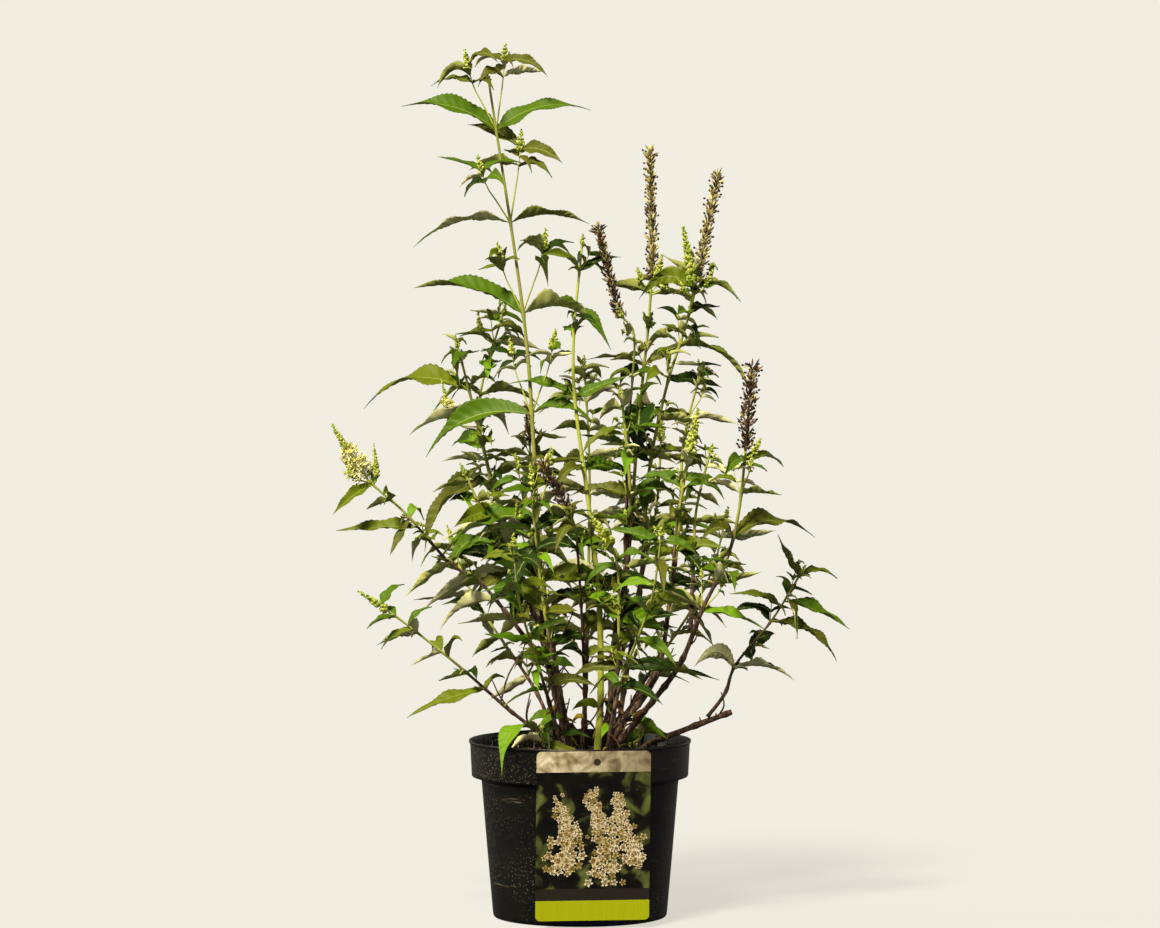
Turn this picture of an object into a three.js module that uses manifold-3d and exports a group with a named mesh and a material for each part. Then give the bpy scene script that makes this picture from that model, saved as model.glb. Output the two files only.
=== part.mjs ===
// A butterfly bush in its nursery pot, with a care label hung over the rim.
// Millimetres, +Z up. The origin is the middle of the pot's flat underside; +X is the plant's right and -Y
// its front. The pot, the compost, the label, each cane and each cane's leafy top are solids of their own.
// Solids that carry each other stay CLEARANCE apart.

import * as THREE from 'three';
import { mergeVertices } from 'three/addons/utils/BufferGeometryUtils.js';
import Module from 'manifold-3d';

const CLEARANCE = 0.3;
const SPARE_ROOM = 0.35; // kept round each leaf and twig when it is tried against its neighbours

// Pot: a taper with a wide collar, stood on a flat base.
const POT_HEIGHT = 181.5;
const POT_SIDES = 36;
const POT_WALL = 1.3;
const POT_FLOOR = 1.6;
const RIM_RADIUS = 113.5;
const RIM_LIP = 2.6;
const COLLAR_FOOT_RADIUS = 110.5;
const COLLAR_FOOT = 145;
const BODY_TOP_RADIUS = 100.5;
const BODY_TOP = 140;
const BASE_RADIUS = 89;
const BASE_EDGE = 3.5;
const DRAIN_HOLES = 8;
const DRAIN_RADIUS = 6;
const DRAIN_CIRCLE = 66;

// Compost: fills the pot to a level well under the rim.
const SOIL_LEVEL = 162;

// Label: a card that leans on the collar, turned a little to the plant's right.
const LABEL_WIDTH = 115;
const LABEL_HEIGHT = 172;
const LABEL_THICKNESS = 0.7;
const LABEL_CORNER = 5;
const LABEL_TOP = 180;
const LABEL_TURN = 7;
const LABEL_HOLE_RADIUS = 3;
const LABEL_HOLE_DROP = 11;
const LABEL_HOLE_ASIDE = 3.5;

// Canes: limbs of flat sides that flare at the foot.
const CANE_SIDES = 6;
const CANE_STEP = 32; // mean length between a bough's rings
const RING_CROWDING = 1.4; // how the rings crowd towards the foot, as a power of their order
const FLARE = 0.25; // added to the radius at the soil, as a share of it
const FLARE_HEIGHT = 9;

// Stems of the leafy tops, with a leaf pair half way between every two rings.
const STEM_SIDES = 4;
const FIRST_STEP = 16; // from the bough's tip to the stem's next ring
const LOW_GAP = 1.05; // step between rings low on a stem, of the cane's gap
const GAP_CLOSING = 0.5; // how much less the step is at the spike
const LAST_STEP = 1.4; // longest last step, of the one before
const TURN_SPREAD = 0.15; // radians either way, in the turn between leaf pairs
const AIM_SPREAD = 0.2; // radians either way, in a leaf's aim

// Leaves. Shares are of the leaf's length and angles are in radians.
const LEAF_WIDTH = 0.245;
const LEAF_THICKNESS = 0.022;
const LEAST_THICKNESS = 0.9;
const LEAF_FULLNESS = 1.12; // an arched leaf's two straight reaches
const LEAF_SPREAD = [0.75, 1.15]; // length, of the pair's usual one
const LEAF_RISE = [0.15, 0.85]; // above square to its stem
const LEAF_DROOP = [0.1, 1.2]; // outer half, below level
const LEAF_ROLL = [0.25, 0.95]; // either way about its midrib
const TOP_LEAF = 0.28; // how much shorter the leaves get up to the spike
const ROOT_DEPTH = 1.3; // how far the pointed foot is sunk in, as a share of the stem's radius
const LONG_LEAF = 62; // leaves over this length get one more bend
const CLEAR_OF_STEM = 0.14; // share of a leaf or twig that may touch what grows beside it

// Side shoots: a twig with leaf pairs where it is long, one steep young leaf where it is short.
const LONG_SHOOT = 38;
const SHOOT_SPREAD = [0.7, 1.2]; // length, of the cane's usual shoot
const SHOOT_LEAN = [1.1, 1.3]; // above square to its stem, in radians
const SHOOT_BEND = 0.6; // share of a shoot where it turns upwards
const SHOOT_NODES = [0.62, 0.8]; // shares of a shoot where its leaf pairs stand
const SHOOT_BUD = 0.86; // share of a shoot where its bud is widest
const SHOOT_LEAF = 0.42; // length of its leaves, of the shoot's
const TWIG_SIDES = 3;
const TWIG_RADIUS = 0.9;
const BUD_RADIUS = 2.6;
const TUFT_RISE = [0.95, 1.2];

// Flower spikes: fresh buds in a smooth cone, old seed heads or open florets in whorls.
const BUD_SIDES = 4;
const WHORL_SIDES = 5;
const WHORL_STEP = 16;
const WHORL_WAIST = 0.6; // radius between whorls, of theirs
const SPIKE_TAPER = 0.55; // how much narrower the last whorl is than the first
const SPIKE_COLLAR = 0.4; // the spike's first ring, over its stem's radius
const SPIKE_SEAT = 3; // how far a stem runs into its spike

const CANE_BARK = { color: 0x5a4534, roughness: 0.85, metalness: 0 };
const LEAF_GREEN = { color: 0x4a6b22, roughness: 0.6, metalness: 0 };

// Every cane in order, with the points that it passes. A cane with "from" forks from that cane's bough, at
// the ring number "at"; every other cane stands on the compost. Then: radius at the foot and at the tip; the
// share of its length that is bare bough; and what its leafy top bears: the gap between leaf pairs and their
// length, the direction of the first pair and the turn to the next in degrees, the chance and length of side
// shoots, and the spike at its tip with its length and radius.
const CANES = [
  { name: 'leader',
    points: [[-6, -8], [-22, -10, 214], [-38, -10, 300], [-47, -14, 480], [-58, -16, 619], [-94, -20, 862]],
    radius: [3.1, 1.3], bare: 0.25, gap: 104, leaf: 124, first: 20, turn: 172, shoots: 1, shoot: 92,
    spike: ['bud', 14, 3] },
  { name: 'centre',
    points: [[17, -20], [21, -20, 232], [19, -22, 330], [9, -22, 420], [-7, -24, 560], [3, -24, 697]],
    radius: [3.6, 1.2], bare: 0.3, gap: 76, leaf: 80, first: 15, turn: 62, shoots: 0.6, shoot: 24,
    spike: ['bud', 12, 3] },
  { name: 'short',
    points: [[20, -4], [31, -10, 214], [33, -12, 270], [49, -20, 372], [50, -26, 450], [41, -30, 540]],
    radius: [3.5, 1.3], bare: 0.32, gap: 38, leaf: 70, first: 50, turn: 80, shoots: 0.5, shoot: 28,
    spike: ['bud', 10, 3] },
  { name: 'tall_spike',
    points: [[18, 12], [34, 14, 236], [48, 22, 350], [60, 26, 505], [73, 24, 650], [71, 20, 790]],
    radius: [2.8, 1.1], bare: 0.36, gap: 46, leaf: 68, first: 20, turn: 84, shoots: 0.6, shoot: 30,
    spike: ['old', 140, 8.5] },
  { name: 'thin_spike', from: 'tall_spike', at: 7,
    points: [[50, 6, 500], [55, -4, 592], [38, -6, 622], [17, -8, 710]],
    radius: [2, 0.9], bare: 0.3, gap: 50, leaf: 52, first: 0, turn: 90, shoots: 0.3, shoot: 18,
    spike: ['old', 104, 6] },
  { name: 'right_spike',
    points: [[36, 4], [44, 4, 226], [62, 8, 340], [70, 10, 450], [88, 8, 540], [112, 2, 620],
      [141, -4, 762]],
    radius: [2.8, 1.1], bare: 0.36, gap: 44, leaf: 88, first: -10, turn: 78, shoots: 0.75, shoot: 36,
    spike: ['old', 118, 10] },
  { name: 'right_arm',
    points: [[24, -28], [42, -32, 198], [68, -36, 232], [82, -38, 266], [92, -40, 335], [99, -44, 410],
      [119, -52, 520]],
    radius: [3.0, 1.1], bare: 0.42, gap: 36, leaf: 68, first: 40, turn: 84, shoots: 0.6, shoot: 30,
    spike: ['bud', 54, 7] },
  { name: 'right_fork', from: 'right_arm', at: 5.8,
    points: [[101, -10, 400], [106, 14, 484], [126, 24, 566]],
    radius: [2.4, 1.1], bare: 0.3, gap: 36, leaf: 60, first: 0, turn: 88, shoots: 0.6, shoot: 32,
    spike: ['bud', 12, 3] },
  { name: 'far_right',
    points: [[22, -42], [66, -54, 216], [100, -62, 262], [122, -68, 316], [157, -66, 402], [174, -60, 570]],
    radius: [3.2, 1.1], bare: 0.4, gap: 48, leaf: 80, first: 8, turn: 72, shoots: 0.6, shoot: 40,
    spike: ['old', 92, 10.5] },
  { name: 'far_right_fork', from: 'far_right', at: 6.6,
    points: [[115, -48, 372], [118, -38, 420], [134, -34, 484]],
    radius: [2.4, 1], bare: 0.25, gap: 30, leaf: 56, first: 30, turn: 86, shoots: 0.5, shoot: 22,
    spike: ['bud', 10, 3] },
  { name: 'cut_arm', points: [[26, -14], [44, -18, 200], [62, -22, 228], [80, -24, 256]],
    radius: [3.2, 2.6], bare: 1 },
  { name: 'over_rim', points: [[58, 26], [72, 28, 174], [110, 32, 189], [156, 36, 206]],
    radius: [3.2, 2.7], bare: 1 },
  { name: 'low_right', from: 'over_rim', at: 3.3,
    points: [[149, 30, 226], [160, 26, 256], [196, 12, 302], [230, 0, 359]],
    radius: [1.9, 1], bare: 0.26, gap: 36, leaf: 78, first: 10, turn: 76, shoots: 0.4, shoot: 26,
    spike: ['bud', 8, 2.5] },
  { name: 'left',
    points: [[-12, 8], [-19, 10, 214], [-33, 12, 268], [-50, 14, 316], [-86, 16, 384], [-122, 14, 462]],
    radius: [4.8, 1.2], bare: 0.42, gap: 30, leaf: 66, first: 0, turn: 88, shoots: 0.6, shoot: 30,
    spike: ['bud', 12, 3] },
  { name: 'left_tall', from: 'left', at: 5, points: [[-78, 30, 390], [-102, 36, 490], [-128, 38, 592]],
    radius: [2.8, 1.2], bare: 0.16, gap: 36, leaf: 92, first: 180, turn: 60, shoots: 0.7, shoot: 34,
    spike: ['bud', 12, 3] },
  { name: 'left_inner', points: [[-8, 24], [-34, 34, 262], [-80, 54, 410], [-104, 56, 515], [-76, 46, 626]],
    radius: [2.6, 1.1], bare: 0.34, gap: 38, leaf: 66, first: 30, turn: 84, shoots: 0.5, shoot: 30,
    spike: ['bud', 14, 3] },
  { name: 'far_left', from: 'left', at: 4,
    points: [[-98, 2, 338], [-132, -2, 361], [-178, -8, 413], [-218, -10, 450], [-252, -12, 503]],
    radius: [2.4, 1], bare: 0.22, gap: 34, leaf: 66, first: 10, turn: 80, shoots: 0.3, shoot: 24,
    spike: ['cream', 66, 13] },
  { name: 'low_left',
    points: [[-26, -18], [-46, -24, 192], [-76, -36, 218], [-128, -50, 265], [-184, -60, 310],
      [-223, -64, 337]],
    radius: [2.2, 1], bare: 0.36, gap: 34, leaf: 58, first: -20, turn: 80, shoots: 0.25, shoot: 18,
    spike: ['bud', 36, 5] },
  { name: 'inner_left', points: [[-6, -28], [-30, -44, 280], [-44, -50, 380], [-50, -54, 466]],
    radius: [2.2, 1.1], bare: 0.3, gap: 30, leaf: 62, first: 70, turn: 86, shoots: 0.5, shoot: 28,
    spike: ['bud', 24, 4] },
  { name: 'inner_dark', points: [[6, 0], [4, -16, 260], [-2, -50, 370], [-8, -62, 410], [-40, -70, 470]],
    radius: [2.2, 1.1], bare: 0.3, gap: 32, leaf: 64, first: 30, turn: 86, shoots: 0.5, shoot: 28,
    spike: ['old', 64, 9] },
  { name: 'inner_right',
    points: [[30, -52], [36, -56, 230], [39, -60, 300], [36, -64, 370], [12, -66, 412]],
    radius: [2.2, 1.1], bare: 0.34, gap: 30, leaf: 62, first: 20, turn: 86, shoots: 0.5, shoot: 26,
    spike: ['bud', 34, 7] },
  { name: 'rear_left', points: [[-12, 38], [-24, 54, 250], [-48, 118, 410], [-54, 150, 520]],
    radius: [2.6, 1.1], bare: 0.28, gap: 40, leaf: 74, first: 40, turn: 82, shoots: 0.6, shoot: 32,
    spike: ['old', 46, 6] },
  { name: 'rear_middle', points: [[2, 34], [6, 56, 240], [10, 124, 440], [4, 146, 570]],
    radius: [2.6, 1.1], bare: 0.28, gap: 40, leaf: 74, first: 0, turn: 82, shoots: 0.6, shoot: 32,
    spike: ['bud', 16, 4] },
  { name: 'rear_right', points: [[18, 34], [40, 60, 250], [78, 132, 400], [86, 158, 510]],
    radius: [2.6, 1.1], bare: 0.28, gap: 40, leaf: 74, first: 60, turn: 82, shoots: 0.6, shoot: 32,
    spike: ['bud', 30, 5] },
  { name: 'rear_far_left', points: [[-24, 22], [-44, 44, 224], [-112, 128, 320], [-140, 158, 392]],
    radius: [2.2, 1], bare: 0.28, gap: 34, leaf: 68, first: 20, turn: 82, shoots: 0.5, shoot: 28,
    spike: ['bud', 24, 4] },
  { name: 'rear_far_right', points: [[32, 26], [62, 60, 228], [132, 142, 330], [156, 166, 410]],
    radius: [2.2, 1], bare: 0.28, gap: 34, leaf: 68, first: 70, turn: 82, shoots: 0.5, shoot: 28,
    spike: ['bud', 18, 4] },
  { name: 'front_left', points: [[-14, -42], [-38, -76, 250], [-60, -128, 330], [-66, -158, 400]],
    radius: [2.2, 1], bare: 0.28, gap: 34, leaf: 68, first: 10, turn: 82, shoots: 0.5, shoot: 28,
    spike: ['bud', 16, 4] },
  { name: 'front_right', points: [[24, -56], [42, -90, 250], [70, -136, 330], [82, -164, 410]],
    radius: [2.2, 1], bare: 0.28, gap: 34, leaf: 68, first: 50, turn: 82, shoots: 0.5, shoot: 28,
    spike: ['bud', 16, 4] },
  { name: 'rim_shoot', from: 'low_left', at: 1, points: [[-37, -54, 182], [-39, -60, 204]],
    radius: [1.8, 1.2], bare: 0, gap: 22, leaf: 60, first: -38, turn: 84, shoots: 0.5, shoot: 24,
    spike: ['bud', 8, 2.5] },
  { name: 'foot_shoot', from: 'right_spike', at: 1, points: [[60, -10, 182], [66, -14, 204]],
    radius: [1.8, 1.2], bare: 0, gap: 20, leaf: 46, droop: 0, first: 60, turn: 84, shoots: 0.5, shoot: 20,
    spike: ['bud', 8, 2.5] },
];

// The leaves that stand out, by cane: place up the stem, side, length, rise, droop and roll.
const SET_LEAVES = {
  leader: [
    [2, 0, 74, 0.52, 0.7, -0.5], [2, 1, 134, 0.28, 0.96, 0.8], [3, 0, 118, 0.8, 0.39, 0.05],
    [3, 1, 120, 0.32, 1.22, -0.2], [4, 0, 86, 0.29, 0.69, 0.3], [4, 1, 104, 0.42, 0.73, -0.25],
    [5, 0, 100, 0.86, 0.31, 0.5], [5, 1, 100, 0.57, 0.31, -0.55],
  ],
  left_tall: [[6, 0, 122, 0.73, 0.62, 0.3], [3, 1, 105, 0.15, 1.25, 0.7]],
  right_spike: [[5, 0, 112, 0.41, 1.15, 0.4]],
  far_right: [[2, 1, 115, 0.77, 0.75, -0.25]],
  low_right: [[2, 1, 92, 0.6, 1.25, -0.3]],
  tall_spike: [[3, 1, 92, 0.1, 1.45, 0.0]],
  centre: [[0, 0, 80, -0.1, 0.95, -1.15]],
  short: [[0, 0, 78, 0.75, 0.1, -0.9]],
  inner_right: [[0, 0, 96, 0.1, 0.35, -0.1]],
  rim_shoot: [[2, 0, 100, 0.6, 1.45, 0.1]],
  foot_shoot: [[1, 0, 44, 1.25, 0.1, 0.5]],
};

const wasm = await Module();
wasm.setup();

const UP = new THREE.Vector3(0, 0, 1);
const REAR = new THREE.Vector3(0, 1, 0);
const radians = THREE.MathUtils.degToRad;

// Booleans: solids go to manifold-3d and come back as plain geometry.

// A closed geometry as a solid, without the triangles that a point has collapsed.
function solidOf(geometry) {
  geometry.deleteAttribute('normal');
  geometry.deleteAttribute('uv');
  const merged = mergeVertices(geometry);
  const corners = merged.index.array;
  const triVerts = [];
  for (let i = 0; i < corners.length; i += 3) {
    const [a, b, c] = corners.slice(i, i + 3);
    if (a !== b && b !== c && c !== a) {
      triVerts.push(a, b, c);
    }
  }
  const mesh = new wasm.Mesh({
    numProp: 3,
    vertProperties: new Float32Array(merged.attributes.position.array),
    triVerts: new Uint32Array(triVerts),
  });
  return new wasm.Manifold(mesh);
}

function geometryOf(solid) {
  const mesh = solid.getMesh();
  const geometry = new THREE.BufferGeometry();
  geometry.setAttribute('position', new THREE.BufferAttribute(mesh.vertProperties, 3));
  geometry.setIndex(new THREE.BufferAttribute(mesh.triVerts, 1));
  return geometry;
}

function boxesMeet(a, b) {
  return [0, 1, 2].every((i) => a.min[i] <= b.max[i] && b.min[i] <= a.max[i]);
}

function touches(solid, box, other) {
  return boxesMeet(box, other.box) && !solid.intersect(other.solid).isEmpty();
}

function boxed(solid) {
  return { solid, box: solid.boundingBox() };
}

// The growth rule's random numbers, the same on every run.
function seededRandom(seed) {
  let state = seed;
  return (low = 0, high = 1) => {
    state = (state * 48271) % 2147483647;
    return low + (high - low) * (state / 2147483647);
  };
}

// A prism of "sides" corners through a row of rings. Each ring has its point, its across and up directions,
// and its half width and half height, 0 where the prism ends in a point.
function sweep(sides, rings, turn = 0) {
  const steps = rings.length - 1;
  const geometry = new THREE.CylinderGeometry(1, 1, 1, sides, steps, false, turn);
  const position = geometry.attributes.position;
  for (let i = 0; i < position.count; i += 1) {
    const { point, across, up, wide, high = wide } = rings[Math.round((position.getY(i) + 0.5) * steps)];
    const corner = point.clone();
    corner.addScaledVector(across, position.getX(i) * wide);
    corner.addScaledVector(up, position.getZ(i) * high);
    position.setXYZ(i, corner.x, corner.y, corner.z);
  }
  return geometry;
}

// Pot, compost and label.

function makePot() {
  const inside = POT_WALL;
  const profile = [
    [0, 0],
    [BASE_RADIUS - BASE_EDGE, 0],
    [BASE_RADIUS - 1, 1],
    [BASE_RADIUS, BASE_EDGE],
    [BODY_TOP_RADIUS, BODY_TOP],
    [COLLAR_FOOT_RADIUS, COLLAR_FOOT],
    [RIM_RADIUS - 0.6, POT_HEIGHT - RIM_LIP],
    [RIM_RADIUS, POT_HEIGHT - RIM_LIP + 0.6],
    [RIM_RADIUS, POT_HEIGHT],
    [RIM_RADIUS - RIM_LIP, POT_HEIGHT],
    [COLLAR_FOOT_RADIUS - inside, COLLAR_FOOT + 1],
    [BODY_TOP_RADIUS - inside, BODY_TOP + 1],
    [BASE_RADIUS - inside, BASE_EDGE + 1],
    [BASE_RADIUS - BASE_EDGE, POT_FLOOR],
    [0, POT_FLOOR],
  ];
  const shell = new THREE.LatheGeometry(profile.map(([r, z]) => new THREE.Vector2(r, z)), POT_SIDES);
  shell.rotateX(Math.PI / 2);
  let pot = solidOf(shell);
  for (let i = 0; i < DRAIN_HOLES; i += 1) {
    const angle = ((i + 0.5) / DRAIN_HOLES) * 2 * Math.PI;
    const drill = new THREE.CylinderGeometry(DRAIN_RADIUS, DRAIN_RADIUS, 3 * POT_FLOOR, 12);
    drill.rotateX(Math.PI / 2);
    drill.translate(DRAIN_CIRCLE * Math.cos(angle), DRAIN_CIRCLE * Math.sin(angle), 0);
    pot = pot.subtract(solidOf(drill));
  }
  return pot;
}

function makeSoil() {
  const room = POT_WALL + CLEARANCE;
  const rise = (SOIL_LEVEL - COLLAR_FOOT) / (POT_HEIGHT - COLLAR_FOOT);
  const topRadius = THREE.MathUtils.lerp(COLLAR_FOOT_RADIUS, RIM_RADIUS - RIM_LIP, rise) - room;
  const profile = [
    [0, POT_FLOOR + CLEARANCE],
    [BASE_RADIUS - BASE_EDGE - CLEARANCE, POT_FLOOR + CLEARANCE],
    [BASE_RADIUS - room, BASE_EDGE + 2],
    [BODY_TOP_RADIUS - room, BODY_TOP + 1],
    [COLLAR_FOOT_RADIUS - room - 1, COLLAR_FOOT + 1],
    [topRadius, SOIL_LEVEL],
    [0, SOIL_LEVEL],
  ];
  const fill = new THREE.LatheGeometry(profile.map(([r, z]) => new THREE.Vector2(r, z)), POT_SIDES);
  fill.rotateX(Math.PI / 2);
  return solidOf(fill);
}

// The card is drawn flat with its back at z = 0, stood up, laid against the slope of the collar and turned.
function makeLabel() {
  const half = LABEL_WIDTH / 2;
  const low = -LABEL_HEIGHT;
  const r = LABEL_CORNER;
  const card = new THREE.Shape();
  card.moveTo(-half + r, 0);
  card.absarc(-half + r, -r, r, Math.PI / 2, Math.PI, false);
  card.absarc(-half + r, low + r, r, Math.PI, 1.5 * Math.PI, false);
  card.absarc(half - r, low + r, r, 1.5 * Math.PI, 2 * Math.PI, false);
  card.absarc(half - r, -r, r, 0, Math.PI / 2, false);
  const hole = new THREE.Path();
  hole.absarc(LABEL_HOLE_ASIDE, -LABEL_HOLE_DROP, LABEL_HOLE_RADIUS, 0, 2 * Math.PI, true);
  card.holes.push(hole);
  const depth = LABEL_THICKNESS;
  const plate = new THREE.ExtrudeGeometry(card, { depth, bevelEnabled: false, curveSegments: 4 });
  const collarRise = POT_HEIGHT - COLLAR_FOOT;
  const lean = Math.atan((RIM_RADIUS - COLLAR_FOOT_RADIUS) / collarRise);
  plate.rotateX(Math.PI / 2 + lean);
  plate.translate(0, -(RIM_RADIUS + CLEARANCE), LABEL_TOP);
  plate.rotateZ(radians(LABEL_TURN));
  return solidOf(plate);
}

// Canes.

// A cane's axis: its length, its radius and its frame at a distance from the foot.
function layCane(cane, parents) {
  const points = cane.points.map(([x, y, z]) => new THREE.Vector3(x, y, z ?? SOIL_LEVEL + CLEARANCE));
  const [footRadius, tipRadius] = cane.radius;
  if (cane.from) {
    points.unshift(forkPoint(parents[cane.from], cane.at, points[0], footRadius));
  }
  const curve = new THREE.CatmullRomCurve3(points, false, 'catmullrom', 0.5);
  const length = curve.getLength();
  const frameAt = (s) => {
    const flare = cane.from ? 0 : FLARE * Math.exp(-s / FLARE_HEIGHT);
    const radius = THREE.MathUtils.lerp(footRadius, tipRadius, s / length) + footRadius * flare;
    const frame = axisFrame(curve.getPointAt(s / length), curve.getTangentAt(s / length));
    return { ...frame, radius, wide: radius };
  };
  return { ...cane, length, bareLength: cane.bare * length, frameAt };
}

function axisFrame(point, tangent) {
  const across = REAR.clone().cross(tangent).normalize();
  return { point, tangent, across, up: across.clone().cross(tangent) };
}

// Distances from the foot of a bare bough's rings.
function boughPlaces(cane) {
  const steps = Math.max(2, Math.round(cane.bareLength / CANE_STEP) + 1);
  return Array.from({ length: steps + 1 }, (_, i) => cane.bareLength * (i / steps) ** RING_CROWDING);
}

// The frame on a limb's straight run between two of its rings, at a ring number with a fraction.
function frameOnRun(cane, places, ring) {
  const lower = places[Math.floor(ring)];
  const upper = places[Math.ceil(ring)];
  const point = cane.frameAt(lower).point.lerp(cane.frameAt(upper).point, ring % 1);
  return { ...cane.frameAt(THREE.MathUtils.lerp(lower, upper, ring % 1)), point };
}

// Where a fork starts: beside its parent, on the side that it leaves to.
function forkPoint(parent, ring, towards, radius) {
  const { point, tangent, across, up, wide } = frameOnRun(parent, boughPlaces(parent), ring);
  const way = towards.clone().sub(point).normalize();
  const along = way.dot(tangent);
  const side = way.clone().addScaledVector(tangent, -along).normalize();
  const halfFace = Math.PI / CANE_SIDES;
  const fromEdge = THREE.MathUtils.euclideanModulo(Math.atan2(side.dot(across), side.dot(up)), 2 * halfFace);
  const surface = (wide * Math.cos(halfFace)) / Math.cos(fromEdge - halfFace);
  return point.addScaledVector(side, surface + CLEARANCE + radius * Math.abs(along));
}

// A cane's bare bough. One that stands on the compost has a level foot.
function makeBough(cane) {
  const rings = boughPlaces(cane).map(cane.frameAt);
  if (!cane.from) {
    Object.assign(rings[0], axisFrame(rings[0].point, UP));
  }
  return solidOf(sweep(CANE_SIDES, rings));
}

// Leafy tops.

function spikeFoot(cane) {
  return cane.length - cane.spike[1];
}

// Distances of the rings of a leafy top's stem, from its bough's tip into its spike.
function stemPlaces(cane) {
  const leafy = spikeFoot(cane) - cane.bareLength;
  const places = [cane.bareLength + CLEARANCE];
  let step = FIRST_STEP;
  while (places.at(-1) + LAST_STEP * step < spikeFoot(cane)) {
    places.push(places.at(-1) + step);
    step = cane.gap * (LOW_GAP - GAP_CLOSING * ((places.at(-1) - cane.bareLength) / leafy) ** 2);
  }
  return [...places, spikeFoot(cane) + SPIKE_SEAT];
}

function leafNodes(cane) {
  const places = stemPlaces(cane);
  const runs = places.slice(1);
  return runs.map((_, i) => (
    { frame: frameOnRun(cane, places, i + 0.5), share: i / runs.length, place: i }));
}

function makeStem(cane) {
  return solidOf(sweep(STEM_SIDES, stemPlaces(cane).map(cane.frameAt)));
}

function makeSpike(cane) {
  const [kind, length, radius] = cane.spike;
  const whorls = kind === 'bud' ? 2 : Math.max(3, Math.round(length / WHORL_STEP));
  const rings = [];
  for (let i = 0; i <= 2 * whorls; i += 1) {
    const t = i / (2 * whorls);
    const frame = cane.frameAt(spikeFoot(cane) + t * length);
    const taper = kind === 'bud' ? 1 - t ** 2 : 1 - SPIKE_TAPER * t;
    const waist = kind === 'bud' || i % 2 === 1 ? 1 : WHORL_WAIST;
    rings.push({ ...frame, wide: radius * taper * waist });
  }
  rings[0].wide = rings[0].radius + SPIKE_COLLAR;
  rings.at(-1).wide = 0;
  return solidOf(sweep(kind === 'bud' ? BUD_SIDES : WHORL_SIDES, rings));
}

// A leaf grows from a point in the middle of its stem. out is the way it leaves the stem; it rises with the
// stem and then arches over and droops.
function layLeaf({ point, tangent, radius }, out, { length, rise, droop, roll }) {
  const foot = point.clone().addScaledVector(out, (1 - ROOT_DEPTH) * radius);
  const way = out.clone().multiplyScalar(Math.cos(rise)).addScaledVector(tangent, Math.sin(rise)).normalize();
  const level = new THREE.Vector3(way.x, way.y, 0).addScaledVector(out, 0.05).setZ(0).normalize();
  const crest = foot.clone().addScaledVector(way, 0.5 * LEAF_FULLNESS * length);
  const tip = crest.clone().addScaledVector(level, 0.5 * LEAF_FULLNESS * length * Math.cos(droop));
  tip.z -= 0.5 * LEAF_FULLNESS * length * Math.sin(droop);
  const midrib = new THREE.QuadraticBezierCurve3(foot, crest, tip);
  const flat = level.clone().cross(UP);
  const frameAt = (t) => {
    const along = midrib.getTangent(t);
    const lift = flat.clone().cross(along).normalize();
    const across = flat.clone().multiplyScalar(Math.cos(roll)).addScaledVector(lift, Math.sin(roll));
    return { point: midrib.getPoint(t), across, up: across.clone().cross(along) };
  };
  return { length, frameAt };
}

// The leaf's three-sided blade, pointed at its sunk foot and its tip, with its keel below. One that is only
// tried starts a little way out and has spare room round it.
function makeBlade(leaf, start = 0, spare = 0) {
  const long = leaf.length > LONG_LEAF;
  const places = long ? [start, 0.3, 0.66, 1] : [start, 0.38, 1];
  const widths = long ? [0, 1, 0.72, 0] : [0, 1, 0];
  const thick = Math.max(LEAST_THICKNESS, leaf.length * LEAF_THICKNESS) / 1.5;
  const rings = places.map((t, i) => {
    const half = (widths[i] * leaf.length * LEAF_WIDTH) / 2;
    const high = widths[i] > 0 ? thick + spare : spare;
    return { ...leaf.frameAt(t), wide: (half + spare) / Math.sin(Math.PI / 3), high };
  });
  return solidOf(sweep(3, rings, Math.PI));
}

function radialAt(frame, azimuth) {
  const out = frame.across.clone().multiplyScalar(Math.cos(azimuth));
  return out.addScaledVector(frame.up, Math.sin(azimuth));
}

// The growth rule: opposite pairs of leaves, each pair turned from the last, with side shoots in their axils.
// keep(whole, outer) says whether there is room for a leaf or twig, from the whole of it and its outer part.
function growTop(cane, random, keep) {
  const organs = [];
  let azimuth = radians(cane.first);
  for (const { frame, share, place } of leafNodes(cane)) {
    const size = cane.leaf * (1 - TOP_LEAF * share);
    for (const side of [0, 1]) {
      const out = radialAt(frame, azimuth + side * Math.PI + random(-AIM_SPREAD, AIM_SPREAD));
      const habit = { ...leafHabit(size, random, cane.droop), ...setHabit(cane.name, place, side) };
      const shootPick = random();
      const shootLength = cane.shoot * random(...SHOOT_SPREAD);
      growLeaf(organs, layLeaf(frame, out, habit), keep);
      if (shootPick < cane.shoots) {
        const grow = shootLength > LONG_SHOOT ? growShoot : growTuft;
        grow(organs, { frame, out, length: shootLength }, random, keep);
      }
    }
    azimuth += radians(cane.turn) + random(-TURN_SPREAD, TURN_SPREAD);
  }
  return organs;
}

function leafHabit(size, random, droop = 0) {
  return {
    length: size * random(...LEAF_SPREAD),
    rise: random(...LEAF_RISE),
    droop: droop + random(...LEAF_DROOP),
    roll: random(...LEAF_ROLL) * (random() < 0.5 ? -1 : 1),
  };
}

function setHabit(name, place, side) {
  const row = SET_LEAVES[name]?.find(([itsPlace, itsSide]) => itsPlace === place && itsSide === side);
  if (!row) {
    return {};
  }
  const [length, rise, droop, roll] = row.slice(2);
  return { length, rise, droop, roll };
}

function growLeaf(organs, leaf, keep) {
  if (keep(makeBlade(leaf, 0, SPARE_ROOM), makeBlade(leaf, CLEAR_OF_STEM, SPARE_ROOM))) {
    organs.push(makeBlade(leaf));
  }
}

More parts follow.
